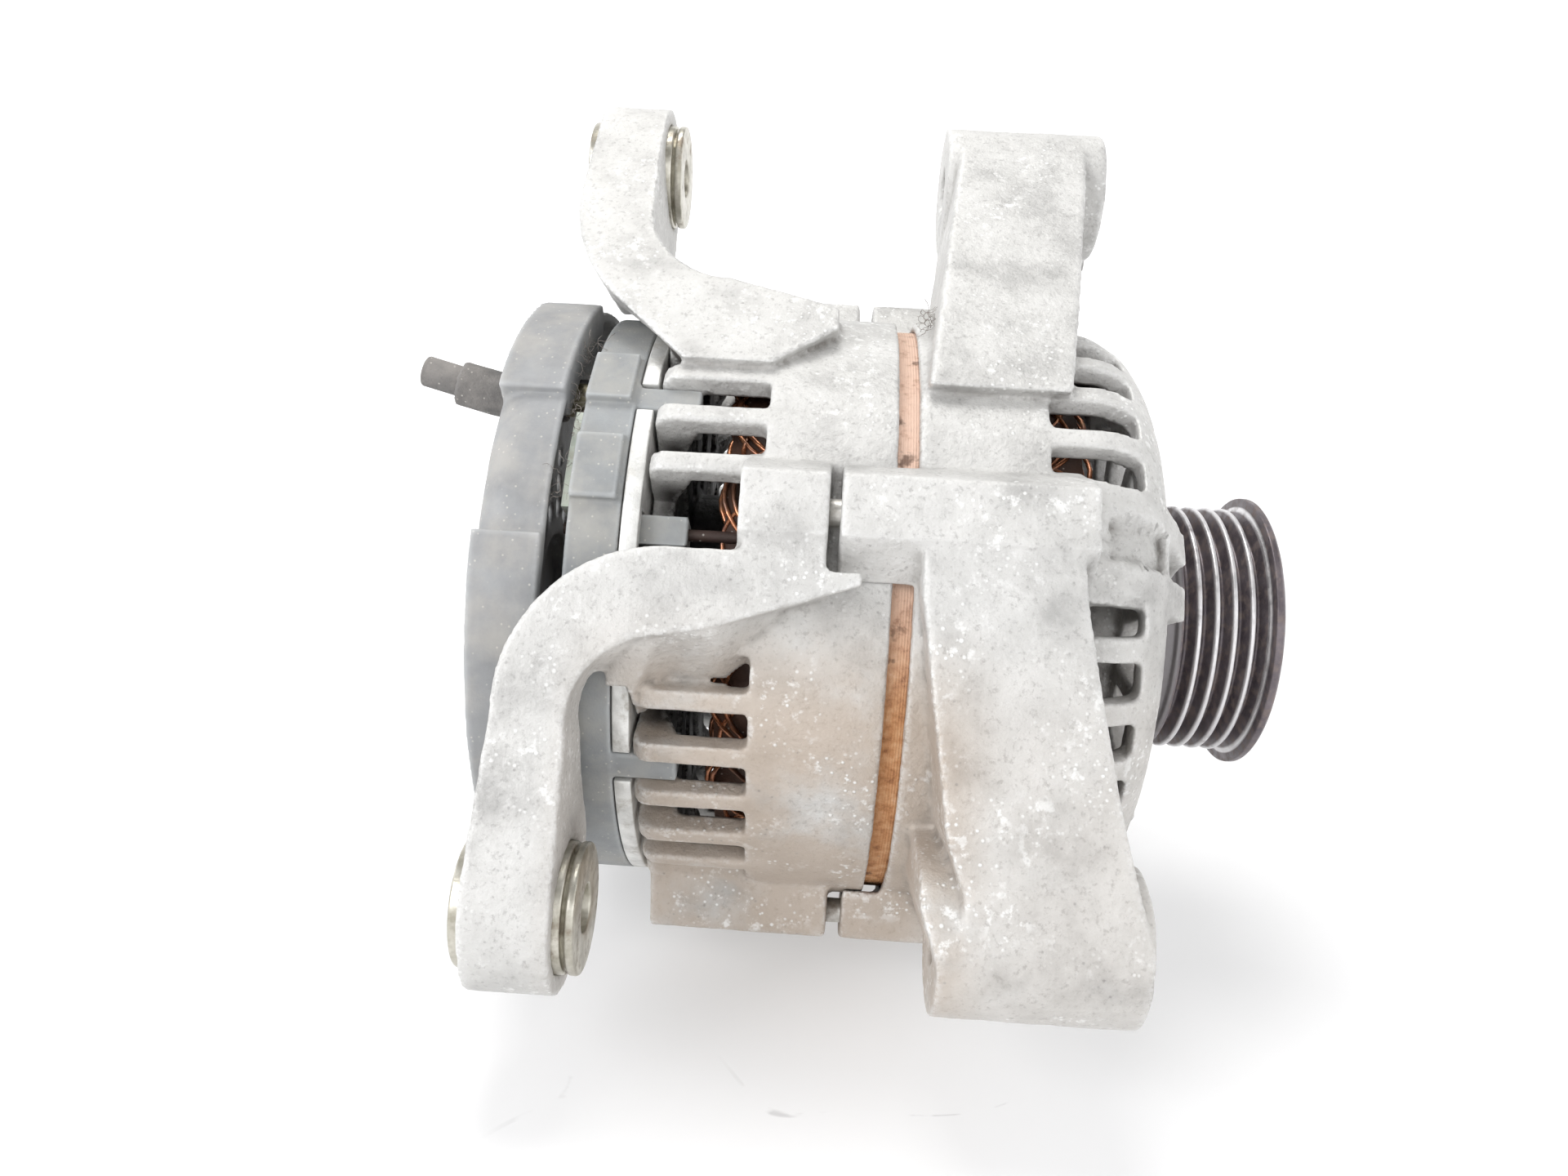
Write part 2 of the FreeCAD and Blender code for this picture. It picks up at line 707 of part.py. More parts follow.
def fan(label, hub_side, far_side):
    """A fan disc on a pole's end face with eleven leaned blades standing up from it."""
    low, high = sorted((hub_side, far_side), key=value)
    outward = value(far_side) > value(hub_side)
    disc_end = f"{hub_side} {'+' if outward else '-'} 1.4"
    disc = sorted((hub_side, disc_end), key=value)
    body = ring(label, *disc, "shaft_body + gap_fit", "34")
    sketch = new_sketch(body, "YZ_Plane", low)
    draw_outline(sketch, [
        turned("26", "4", "0"),
        turned("fan_radius - 0.5", "-5", "0"),
        turned("fan_radius", "-3.6", "0"),
        turned("27", "5.4", "0"),
    ])
    repeat(body, extrude(body, sketch, f"{high} - ({low})"), "11")


def ball_bearing(name, middle, bore, outer, half, ball, pitch, count):
    """A deep-groove ball bearing: two rings, balls, a cage and two seals, each its own sub-part."""
    groove = f"({ball} + gap_run)"
    shoulder = f"({ball} * 0.5)"
    reach = f"(sqrt({groove} * {groove} - {shoulder} * {shoulder}))"
    back, front = f"{middle} - {half} + gap_fit", f"{middle} + {half} - gap_fit"

    inner = new_body(f"{name}_bearing_inner_ring")
    revolve(inner, [
        (back, f"{bore} + gap_fit"),
        (front, f"{bore} + gap_fit"),
        (front, f"{pitch} - {shoulder}"),
        (f"{middle} + {reach}", f"{pitch} - {shoulder}"),
        (f"{middle} - {reach}", f"{pitch} - {shoulder}", groove, "right"),
        (back, f"{pitch} - {shoulder}"),
    ])
    outer_ring = new_body(f"{name}_bearing_outer_ring")
    revolve(outer_ring, [
        (back, f"{outer} - gap_fit"),
        (back, f"{pitch} + {shoulder}"),
        (f"{middle} - {reach}", f"{pitch} + {shoulder}"),
        (f"{middle} + {reach}", f"{pitch} + {shoulder}", groove, "right"),
        (front, f"{pitch} + {shoulder}"),
        (front, f"{outer} - gap_fit"),
    ])
    balls = new_body(f"{name}_bearing_balls")
    sphere = balls.newObject("PartDesign::AdditiveSphere", f"{balls.Name}_sphere")
    sphere.setExpression("Radius", formula(ball))
    sphere.setExpression("Placement.Base.x", formula(middle))
    sphere.setExpression("Placement.Base.y", formula(pitch))
    repeat(balls, sphere, str(count))
    cage = new_body(f"{name}_bearing_cage")
    revolve(cage, ring_outline(
        f"{middle} - {ball} - 0.1", f"{middle} + {ball} + 0.7", f"{pitch} - {shoulder} + 0.5",
        f"{pitch} + {shoulder} - 0.5",
    ))
    sketch = new_sketch(cage, "YZ_Plane", f"{middle} - {half}")
    draw_outline(sketch, block_outline(f"{pitch} - 5", f"{pitch} + 5", f"{ball} + 0.1", f"{ball} + 0.1", "0"))
    repeat(cage, extrude(cage, sketch, f"{half} + {ball} + 0.05", cut=True), str(count))
    seals = new_body(f"{name}_bearing_seals")
    for start, end in ((back, f"{back} + 0.8"), (f"{front} - 0.8", front)):
        revolve(seals, ring_outline(
            start, end, f"{pitch} - {shoulder} + 0.15", f"{pitch} + {shoulder} - gap_fit",
        ))


def rotor():
    shaft = new_body("rotor_shaft")
    revolve(shaft, [
        ("-72", "0"),
        ("77.4", "0"),
        ("77.4", "6.9"),
        ("76.4", "7.9"),
        ("68", "7.9"),
        ("68", "shaft_front"),
        ("36", "shaft_front"),
        ("36", "shaft_body"),
        ("rear_bearing_x + rear_half + 1", "shaft_body"),
        ("rear_bearing_x + rear_half + 1", "shaft_rear"),
        ("rear_bearing_x - rear_half - 1", "shaft_rear"),
        ("rear_bearing_x - rear_half - 1", "shaft_tail"),
        ("-72", "shaft_tail"),
    ])
    sketch = new_sketch(shaft, "YZ_Plane", "71.4")
    draw_outline(sketch, hexagon("0", "0", "8"))
    extrude(shaft, sketch, "7", cut=True)
    claw_pole("front_claw_pole", 0, 0)
    claw_pole("rear_claw_pole", 180, 30)
    bobbin = new_body("field_bobbin")
    revolve(bobbin, [
        ("-pole_disc + 0.1", "17.1"),
        ("pole_disc - 0.1", "17.1"),
        ("pole_disc - 0.1", "34"),
        ("pole_disc - 1.3", "34"),
        ("pole_disc - 1.3", "18.3"),
        ("-pole_disc + 1.3", "18.3"),
        ("-pole_disc + 1.3", "34"),
        ("-pole_disc + 0.1", "34"),
    ])
    ring("field_coil", "-pole_disc + 1.4", "pole_disc - 1.4", "18.4", "33.4")
    fan("front_fan", "rotor_half + 0.1", "rotor_half + 8")
    fan("rear_fan", "-rotor_half - 0.1", "-rotor_half - 8")
    ring("slip_ring_sleeve", "-71", "-47.5", "shaft_tail + gap_fit", "7")
    for label, middle in (("front_slip_ring", "front_ring_x"), ("rear_slip_ring", "rear_ring_x")):
        ring(label, f"{middle} - 3.4", f"{middle} + 3.4", "7 + gap_fit", "ring_radius")
    ring("shaft_spacer", "front_bearing_x + front_half", "pulley_back", "shaft_front + gap_fit", "12.5")
    pulley()
    hexagon_nut("pulley_nut", "0", "0", "68.2", "76.2", "24", "7.95")
    ball_bearing("front", "front_bearing_x", "shaft_front", "front_outer", "front_half", "front_ball",
                 "front_pitch_radius", 7)
    ball_bearing("rear", "rear_bearing_x", "shaft_rear", "rear_outer", "rear_half", "rear_ball",
                 "rear_pitch_radius", 9)


def pulley():
    """Five V-shaped grooves between six crests, with a flange in front and a smooth collar behind."""
    belt_middle = "(-stator_x)"
    outline = [("pulley_back", "shaft_front + gap_fit"), ("68.1", "shaft_front + gap_fit")]
    outline += [("68.1", "17"), ("pulley_front - 1.5", "19.5"), ("pulley_front", "flange_radius - 3.5")]
    outline += [("pulley_front - 1.8", "flange_radius", "2.6", "left"), ("pulley_front - 2.9", "flange_radius")]
    for step in range(5):
        bottom = f"{belt_middle} + belt_pitch * {2 - step}"
        outline.append((f"{bottom} + 1.35", "crest_radius" if step else "crest_radius + 0.3"))
        outline.append((f"{bottom} + 0.3", "crest_radius - groove_depth"))
        outline.append((f"{bottom} - 0.3", "crest_radius - groove_depth"))
        outline.append((f"{bottom} - 1.35", "crest_radius"))
    outline += [("57.7", "crest_radius"), ("57.4", "crest_radius - 0.9"), ("pulley_back", "crest_radius - 0.9")]
    body = new_body("pulley")
    revolve(body, outline)


def fixings():
    bolts = new_body("through_bolts")
    sketch = new_sketch(bolts, "YZ_Plane", "-27")
    draw_circle(sketch, *turned("bolt_circle", "0", "first_boss"), "bolt_radius")
    repeat(bolts, extrude(bolts, sketch, "head_back + 28"), "4")
    sketch = new_sketch(bolts, "YZ_Plane", "head_back + gap_fit")
    draw_circle(sketch, *turned("bolt_circle", "0", "first_boss"), "head_radius")
    repeat(bolts, extrude(bolts, sketch, "head_depth"), "4")
    sketch = new_sketch(bolts, "YZ_Plane", "head_back + head_depth - 2.4")
    draw_outline(sketch, hexagon(*turned("bolt_circle", "0", "first_boss"), "4", "first_boss"))
    repeat(bolts, extrude(bolts, sketch, "4", cut=True), "4")
    plate = ring("bearing_retainer", "hub_back - 2", "hub_back - gap_fit", "18", "hub_radius")
    sketch = new_sketch(plate, "YZ_Plane", "hub_back - 4")
    draw_circle(sketch, *turned("26.2", "0", "15"), "1.7")
    repeat(plate, extrude(plate, sketch, "6", cut=True), "3")
    rod_set("retainer_screws", "15", "26.2", "3", [
        ("hub_back - 3.8", "hub_back - 2 - gap_fit", "2.6"),
        ("hub_back - 2.5", "hub_back + 7.5", "1.5"),
    ])
    ring("rear_bearing_sleeve", "rear_bearing_x - rear_half + 0.1", "rear_bearing_x + rear_half - 0.1",
         "rear_outer + gap_fit", "rear_outer + 1.2 - gap_fit")
    for label, ear in (("upper_slide_bush", UPPER_EAR), ("lower_slide_bush", LOWER_EAR)):
        bush = new_body(label)
        for back, front, radius in (
            ("bush_back", "bush_front - 2.2", "bush_radius"),
            ("bush_front - 2.3", "bush_front - 1.5", "bush_radius - 1.1"),
            ("bush_front - 1.6", "bush_front", "bush_radius"),
        ):
            sketch = new_sketch(bush, "YZ_Plane", back)
            draw_circle(sketch, *ear, radius)
            extrude(bush, sketch, f"({front}) - ({back})")
        sketch = new_sketch(bush, "YZ_Plane", "bush_back - 5")
        draw_circle(sketch, *ear, "bush_bore")
        extrude(bush, sketch, "40", cut=True)


# where the phase leads come through the rear windows: angle and outer radius of each tower
TOWERS = (("126", "block_radius - 0.5"), ("152", "56.8"), ("196", "block_radius - 0.5"))


def horseshoe_outline(sketch, inner, outer, start, end):
    """A thick arc round the shaft, in two halves that meet at its middle."""
    middle = f"(({start} + {end}) / 2)"
    draw_outline(sketch, [
        turned(outer, "0", start),
        (*turned(outer, "0", middle), outer, "left"),
        (*turned(outer, "0", end), outer, "left"),
        turned(inner, "0", end),
        (*turned(inner, "0", middle), inner, "right"),
        (*turned(inner, "0", start), inner, "right"),
    ])


def horseshoe(body, back, front, inner, outer, start="50", end="310"):
    sketch = new_sketch(body, "YZ_Plane", back)
    horseshoe_outline(sketch, inner, outer, start, end)
    return extrude(body, sketch, f"({front}) - ({back})")


def pocket_holes(body, places, radius, back, length):
    """Round holes parallel to the shaft, at (radial, angle) places."""
    sketch = new_sketch(body, "YZ_Plane", back)
    for radial, angle in places:
        draw_circle(sketch, *turned(radial, "0", angle), radius)
    extrude(body, sketch, length, cut=True)


def studs(label, places, steps):
    """Stepped round pieces parallel to the shaft, at (radial, angle) places."""
    body = new_body(label)
    for back, front, radius in steps:
        sketch = new_sketch(body, "YZ_Plane", back)
        for radial, angle in places:
            draw_circle(sketch, *turned(radial, "0", angle), radius)
        extrude(body, sketch, f"({front}) - ({back})")
    return body


NEGATIVE_DIODES = [("37", "95"), ("37", "171"), ("37", "247")]
POSITIVE_DIODES = [("37", "133"), ("37", "209"), ("37", "285")]
RECTIFIER_SCREWS = [("53", "70"), ("53", "180"), ("53", "290")]


def rectifier():
    negative = new_body("negative_heat_sink")
    horseshoe(negative, "sink_back", "sink_front", "27", "block_radius")
    pocket_holes(negative, NEGATIVE_DIODES, "6.4 + gap_fit", "sink_back - 2", "8")
    pocket_holes(negative, RECTIFIER_SCREWS, "2.2", "sink_back - 2", "8")
    pocket_holes(negative, POSITIVE_DIODES, "3", "sink_back - 2", "8")
    sketch = new_sketch(negative, "YZ_Plane", "sink_back - 2")
    for angle, top in TOWERS:
        draw_outline(sketch, block_outline("50.5", f"{top} + 0.6", "3.4", "3.4", angle))
    extrude(negative, sketch, "8", cut=True)
    studs("negative_diodes", NEGATIVE_DIODES, [
        ("sink_back - 1.5", "sink_front - gap_fit", "6.4"),
        ("sink_back - 5", "sink_back - 1.5", "0.6"),
    ])
    positive = new_body("positive_heat_sink")
    horseshoe(positive, "-58.6", "-55.6", "24", "48")
    pocket_holes(positive, POSITIVE_DIODES, "6.4 + gap_fit", "-62", "8")
    pocket_holes(positive, NEGATIVE_DIODES, "3", "-62", "8")
    tab = new_sketch(positive, "YZ_Plane", "-58.6")
    draw_circle(tab, "stud_y", "stud_z", "5.6")
    extrude(positive, tab, "3")
    tab_hole = new_sketch(positive, "YZ_Plane", "-62")
    draw_circle(tab_hole, "stud_y", "stud_z", "2.5 + gap_fit")
    extrude(positive, tab_hole, "8", cut=True)
    studs("positive_diodes", POSITIVE_DIODES, [
        ("-58.5", "-54", "6.4"),
        ("-54", "-51", "0.6"),
    ])

    block = new_body("rectifier_carrier")
    horseshoe(block, "block_back", "sink_back - 0.3", "49.5", "block_radius")
    sketch = new_sketch(block, "YZ_Plane", "sink_back - 0.4")
    for angle, top in TOWERS:
        draw_outline(sketch, block_outline("51", top, "2.1", "2.8", angle))
    extrude(block, sketch, "12")
    sketch = new_sketch(block, "YZ_Plane", "block_back")
    for angle in ("122", "142"):
        draw_outline(sketch, block_outline("55", "block_radius + 1.3", "6.5", "6.5", angle))
    extrude(block, sketch, "8.6")
    pocket_holes(block, RECTIFIER_SCREWS, "2.4", "block_back - 2", "14")
    stud_room = new_sketch(block, "YZ_Plane", "block_back - 1")
    draw_circle(stud_room, "stud_y", "stud_z", "6")
    extrude(block, stud_room, "10.3", cut=True)
    sketch = new_sketch(block, "YZ_Plane", "block_back - 1")
    for angle, _ in TOWERS:
        draw_circle(sketch, *turned("54", "0", angle), "1.4")
    extrude(block, sketch, "30", cut=True)
    studs("phase_leads", [("54", angle) for angle, _ in TOWERS], [
        ("block_back - 1.5", "-winding_half - gap_fit", "1.1"),
    ])
    studs("rectifier_screws", RECTIFIER_SCREWS, [
        ("block_back - 2.6", "block_back - gap_fit", "4.2"),
        ("block_back - 0.5", "rear_tip - 0.1", "2.0"),
    ])
    carrier_edge = new_body("sensing_insulator")
    horseshoe(carrier_edge, "block_back - 1.7", "block_back - gap_fit", "51", "57.8", "129", "149")


def brush_gear():
    """Two brushes slide along Y in one holder; the regulator and its plug socket lie beyond them."""
    holder = box_body("brush_holder", ("-71", "10", "-7"), ("-51", "34", "7"))
    for middle in ("front_ring_x", "rear_ring_x"):
        sketch = new_sketch(holder, "XZ_Plane", "-32")
        draw_outline(sketch, [
            (f"{middle} - 2.65", "-3.4"),
            (f"{middle} + 2.65", "-3.4"),
            (f"{middle} + 2.65", "3.4"),
            (f"{middle} - 2.65", "3.4"),
        ])
        extrude(holder, sketch, "30", cut=True)
    for number, middle in enumerate(("front_ring_x", "rear_ring_x"), start=1):
        brush = box_body(f"brush_{number}", (f"{middle} - 2.5", "7.5", "-3.25"), (f"{middle} + 2.5", "22", "3.25"))
        revolve(brush, ring_outline("-80", "-40", "0", "ring_radius + gap_run"), cut=True)
        coil = doc.addObject("Part::Helix", f"brush_{number}_coil")
        coil.Pitch = 1.6
        coil.Height = 8.6
        coil.Radius = 2.1
        turn = FreeCAD.Rotation(FreeCAD.Vector(1, 0, 0), -90)
        coil.Placement = FreeCAD.Placement(FreeCAD.Vector(value(f"stator_x + {middle}"), 22.7, 0), turn)
        wire = doc.addObject("Part::Circle", f"brush_{number}_wire")
        wire.Radius = 0.35
        upright = FreeCAD.Rotation(FreeCAD.Vector(1, 0, 0), 0)
        wire.Placement = FreeCAD.Placement(FreeCAD.Vector(value(f"stator_x + {middle}") + 2.1, 22.7, 0), upright)
        spring = doc.addObject("Part::Sweep", f"brush_{number}_spring")
        spring.Label = f"brush_{number}_spring"
        spring.Sections = [wire]
        spring.Spine = (coil, [])
        spring.Solid = True
        spring.Frenet = True
        NODES.append(spring)
    regulator = box_body("regulator_body", ("-60.5", "34.3", "-19"), ("-51", "50", "19"))
    sketch = new_sketch(regulator, "XZ_Plane", "-62")
    draw_outline(sketch, [("-61.5", "-12"), ("-49.5", "-12"), ("-49.5", "12"), ("-61.5", "12")])
    extrude(regulator, sketch, "13")
    sketch = new_sketch(regulator, "XZ_Plane", "-74")
    draw_outline(sketch, [("-62.5", "-12"), ("-48.5", "-12"), ("-48.5", "12"), ("-62.5", "12")])
    extrude(regulator, sketch, "13")
    sketch = new_sketch(regulator, "XZ_Plane", "-74.1")
    draw_outline(sketch, [("-60.7", "-10"), ("-50.3", "-10"), ("-50.3", "10"), ("-60.7", "10")])
    extrude(regulator, sketch, "16", cut=True)
    pins = new_body("plug_pins")
    sketch = new_sketch(pins, "XZ_Plane", "-70")
    for height in (-5, 0, 5):
        draw_outline(sketch, [
            ("-55.9", f"{height} - 1"),
            ("-55.1", f"{height} - 1"),
            ("-55.1", f"{height} + 1"),
            ("-55.9", f"{height} + 1"),
        ])
    extrude(pins, sketch, "11.9")
    sink = box_body("regulator_heat_sink", ("-63.4", "36", "-17"), ("-60.6", "49", "17"))
    sketch = new_sketch(sink, "YZ_Plane", "-66.4")
    for step in range(4):
        low = f"36.5 + {3.5 * step}"
        draw_outline(sketch, [(low, "-14"), (f"{low} + 1.4", "-14"), (f"{low} + 1.4", "14"), (low, "14")])
    extrude(sink, sketch, "3.1")
    for body in (regulator, sink):
        sketch = new_sketch(body, "YZ_Plane", "-70")
        for height in ("-17.5", "17.5"):
            draw_circle(sketch, "47.3", height, "1.4 + gap_fit")
        extrude(body, sketch, "20", cut=True)
    screws = new_body("regulator_screws")
    for back, front, radius in (("-64.6", "-63.45", "2.6"), ("-63.5", "-50.6", "1.4")):
        sketch = new_sketch(screws, "YZ_Plane", back)
        for height in ("-17.5", "17.5"):
            draw_circle(sketch, "47.3", height, radius)
        extrude(screws, sketch, f"{front} - ({back})")


COVER_STUDS = [("43", "76"), ("43", "200"), ("43", "268")]


def cover():
    shell = new_body("rear_cover")
    revolve(shell, [
        ("cover_front", "cover_radius"),
        ("cover_front", "cover_radius - cover_wall"),
        ("cover_back + 6", "cover_radius - cover_wall"),
        ("cover_back + cover_wall", "cover_radius - 6", "6 - cover_wall", "left"),
        ("cover_back + cover_wall", "14"),
        ("cover_back", "14"),
        ("cover_back", "cover_radius - 6"),
        ("cover_back + 6", "cover_radius", "6", "right"),
    ])
    revolve(shell, [
        ("cover_back + 0.1", "14"),
        ("cover_back - 2.4", "12"),
        ("cover_back - 2.4", "0"),
        ("cover_back - 0.8", "0"),
        ("cover_back - 0.8", "10.5"),
        ("cover_back + cover_wall", "12.4"),
        ("cover_back + cover_wall", "14.1"),
    ])
    for inner, start, end in (("cover_radius - 1", "155", "232"), ("cover_radius - 6", "92", "128")):
        sketch = new_sketch(shell, "YZ_Plane", "cover_back + 0.6")
        horseshoe_outline(sketch, inner, "bulge_radius", start, end)
        extrude(shell, sketch, "cover_front - cover_back - 0.6")
    sketch = new_sketch(shell, "YZ_Plane", "cover_back - 1")
    for step in range(3):
        low = f"16.5 + {5.5 * step}"
        draw_outline(sketch, block_outline(low, f"{low} + 3.6", "1.7", "1.7", "11.25"))
    repeat(shell, extrude(shell, sketch, "4", cut=True), "16")
    sketch = new_sketch(shell, "YZ_Plane", "cover_back + cover_wall - 0.1")
    for radial, angle in COVER_STUDS:
        draw_circle(sketch, *turned(radial, "0", angle), "4.2")
    extrude(shell, sketch, "7")
    pocket_holes(shell, COVER_STUDS, "2.4", "cover_back - 2", "20")
    sketch = new_sketch(shell, "YZ_Plane", "cover_back - 2")
    draw_circle(sketch, "stud_y", "stud_z", "boot_radius + 0.6")
    extrude(shell, sketch, "8", cut=True)
    sketch = new_sketch(shell, "YZ_Plane", "cover_back - 2")
    draw_outline(sketch, [("33", "-21"), ("70", "-21"), ("70", "21"), ("33", "21")])
    extrude(shell, sketch, "20", cut=True)
    studs("cover_studs", COVER_STUDS, [
        ("cover_back - 5.5", "-58.7", "2.0"),
        ("-60.6", "-58.7", "3.6"),
    ])
    nuts = new_body("cover_nuts")
    sketch = new_sketch(nuts, "YZ_Plane", "cover_back - 3.7")
    for radial, angle in COVER_STUDS:
        place = turned(radial, "0", angle)
        draw_outline(sketch, hexagon(*place, "7"))
        draw_circle(sketch, *place, "2.05")
    extrude(nuts, sketch, "3.6")


def bent_rod(label, back, outer, inner, bend_start, bend_radius, bend_turn, run):
    """A round rod or sleeve from the output stud's axis rearwards, with one upward bend."""
    body = new_body(label)
    path = new_sketch(body, "XZ_Plane", "-stud_y")
    bend_x = f"({bend_start}) - {bend_radius} * sin({bend_turn})"
    bend_z = f"stud_z + {bend_radius} * (1 - cos({bend_turn}))"
    ends = [
        (back, "stud_z"),
        (bend_start, "stud_z"),
        (bend_x, bend_z),
        (f"{bend_x} - {run} * cos({bend_turn})", f"{bend_z} + {run} * sin({bend_turn})"),
    ]
    places = [FreeCAD.Vector(value(across), value(up), 0) for across, up in ends]
    path.addGeometry(Part.LineSegment(places[0], places[1]), False)
    path.addGeometry(arc_between(places[1], places[2], value(bend_radius), False), False)
    path.addGeometry(Part.LineSegment(places[2], places[3]), False)
    path.addConstraint(Sketcher.Constraint("Coincident", 0, 2, 1, 2))
    path.addConstraint(Sketcher.Constraint("Coincident", 1, 1, 2, 1))
    for index, end, place in ((0, 1, 0), (0, 2, 1), (2, 1, 2), (2, 2, 3)):
        bind_point(path, index, end, *ends[place])
    bind_radius(path, 1, bend_radius)
    section = new_sketch(body, "YZ_Plane", back)
    draw_circle(section, "stud_y", "stud_z", outer)
    if inner:
        draw_circle(section, "stud_y", "stud_z", inner)
    pipe = body.newObject("PartDesign::AdditivePipe", f"{label}_pipe")
    pipe.Profile = section
    pipe.Spine = (path, [])
    body.Tip = pipe


def output_terminal():
    """The output stud, its nut, and a lead that leaves it rearwards in a bent rubber boot."""
    stud = new_body("output_stud")
    for back, front, radius in (("-69", "-55.7", "2.5"), ("-55.5", "-53.8", "4.5")):
        sketch = new_sketch(stud, "YZ_Plane", back)
        draw_circle(sketch, "stud_y", "stud_z", radius)
        extrude(stud, sketch, f"{front} - ({back})")
    hexagon_nut("output_nut", "stud_y", "stud_z", "-62.3", "-58.7", "8", "2.55")
    lug = new_body("output_lug")
    sketch = new_sketch(lug, "YZ_Plane", "-75")
    draw_circle(sketch, "stud_y", "stud_z", "3.4")
    extrude(lug, sketch, "12.6")
    for offset, length in (("-70", "8"), ("-76", "5")):
        sketch = new_sketch(lug, "YZ_Plane", offset)
        draw_circle(sketch, "stud_y", "stud_z", "2.5 + gap_fit")
        extrude(lug, sketch, length, cut=True)
    bent_rod("output_boot", "-67", "boot_radius", "3.5", "-77", "24", "14", "6")
    bent_rod("output_lead", "-71.3", "2.5", "", "-76", "24", "14", "14")


for make in (front_bracket, rear_bracket, stator, rotor, fixings, rectifier, brush_gear, cover, output_terminal):
    make()
doc.recompute()
for item in doc.Objects:
    if "Invalid" in item.State or "Error" in item.State:
        raise SystemExit(f"{item.Label} failed: {item.State}")
for node in NODES:
    if node.Shape.isNull() or not node.Shape.isValid() or node.Shape.Volume <= 0:
        raise SystemExit(f"{node.Label} has no sound shape")
os.makedirs("parts", exist_ok=True)
for node in NODES:
    print(node.Label, len(node.Shape.Solids), round(node.Shape.Volume))
    node.Shape.exportStep(f"parts/{node.Label}.step")
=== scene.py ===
import json
import math
import random

import bmesh
import bpy
import numpy as np
from mathutils import Matrix, Vector


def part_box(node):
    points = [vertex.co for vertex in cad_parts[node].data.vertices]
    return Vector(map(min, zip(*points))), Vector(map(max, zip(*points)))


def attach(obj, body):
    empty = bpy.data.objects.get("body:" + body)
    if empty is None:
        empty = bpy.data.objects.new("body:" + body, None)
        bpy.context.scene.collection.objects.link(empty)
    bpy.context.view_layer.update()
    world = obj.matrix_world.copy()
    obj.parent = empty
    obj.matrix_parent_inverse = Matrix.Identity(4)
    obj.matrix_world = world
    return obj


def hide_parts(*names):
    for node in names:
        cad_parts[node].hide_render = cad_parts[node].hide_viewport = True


MM = 0.001

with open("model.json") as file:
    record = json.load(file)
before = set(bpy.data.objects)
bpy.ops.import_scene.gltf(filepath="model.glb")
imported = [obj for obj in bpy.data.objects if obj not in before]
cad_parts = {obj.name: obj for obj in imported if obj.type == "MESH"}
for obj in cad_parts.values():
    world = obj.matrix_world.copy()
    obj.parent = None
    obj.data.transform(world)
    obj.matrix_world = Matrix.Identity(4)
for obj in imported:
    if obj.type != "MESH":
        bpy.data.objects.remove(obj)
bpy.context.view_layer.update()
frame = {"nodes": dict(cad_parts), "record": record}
nodes = frame["nodes"]
owner = {node: body for body, members in frame["record"]["behaviour"]["bodies"].items() for node in members}
slots = {entry["node"]: entry["material_slot"] for entry in frame["record"]["subparts"]}


# ---------------------------------------------------------------- camera, floor and light

CAMERA_PLACE = (-0.08165, -0.25505, 0.07478)
CAMERA_LENS = 27.13
CAMERA_TILT = math.radians(17.5)  # how far it looks down, before the small turns below
CAMERA_TURNS = (0.0309, -0.0319, 0.0629)  # yaw, pitch and roll, in radians
FLOOR_Z = -0.0716


def blend_axes(first, second, angle):
    """Both axes turned by an angle in their own plane."""
    return (first * math.cos(angle) + second * math.sin(angle),
            second * math.cos(angle) - first * math.sin(angle))


def make_camera():
    right = Vector((1, 0, 0))
    up = Vector((0, math.sin(CAMERA_TILT), math.cos(CAMERA_TILT)))
    forward = Vector((0, math.cos(CAMERA_TILT), -math.sin(CAMERA_TILT)))
    yaw, pitch, roll = CAMERA_TURNS
    right, forward = blend_axes(right, forward, yaw)
    up, forward = blend_axes(up, forward, pitch)
    right, up = blend_axes(right, up, roll)
    turn = Matrix((right, up, -forward)).transposed().to_4x4()
    camera = bpy.data.objects.new("camera", bpy.data.cameras.new("camera"))
    camera.matrix_world = Matrix.Translation(CAMERA_PLACE) @ turn
    camera.data.lens = CAMERA_LENS
    camera.data.sensor_width = 36
    camera.data.clip_start = 0.01
    bpy.context.scene.collection.objects.link(camera)
    bpy.context.scene.camera = camera


def area_light(name, place, target, size, power, colour):
    light = bpy.data.lights.new(name, "AREA")
    light.shape = "DISK"
    light.size = size
    light.energy = power
    light.color = colour
    holder = bpy.data.objects.new(name, light)
    holder.location = place
    holder.rotation_euler = (Vector(target) - Vector(place)).to_track_quat("-Z", "Y").to_euler()
    bpy.context.scene.collection.objects.link(holder)


make_camera()
middle = (-0.07, 0.0, 0.0)
area_light("overhead", (-0.20, 0.12, 0.95), middle, 0.45, 4.5, (1.0, 0.99, 0.97))
area_light("window", (-0.75, -0.60, 0.45), middle, 0.50, 3.8, (0.98, 0.985, 1.0))
area_light("fill", (0.60, -0.85, 0.30), middle, 0.80, 0.5, (1.0, 0.98, 0.96))

scene = bpy.context.scene
scene.view_settings.view_transform = "Standard"
world = bpy.data.worlds.new("studio")
world.use_nodes = True
world.node_tree.nodes["Background"].inputs["Color"].default_value = (1.0, 1.0, 1.0, 1)
world.node_tree.nodes["Background"].inputs["Strength"].default_value = 0.50
scene.world = world


# ---------------------------------------------------------------- materials

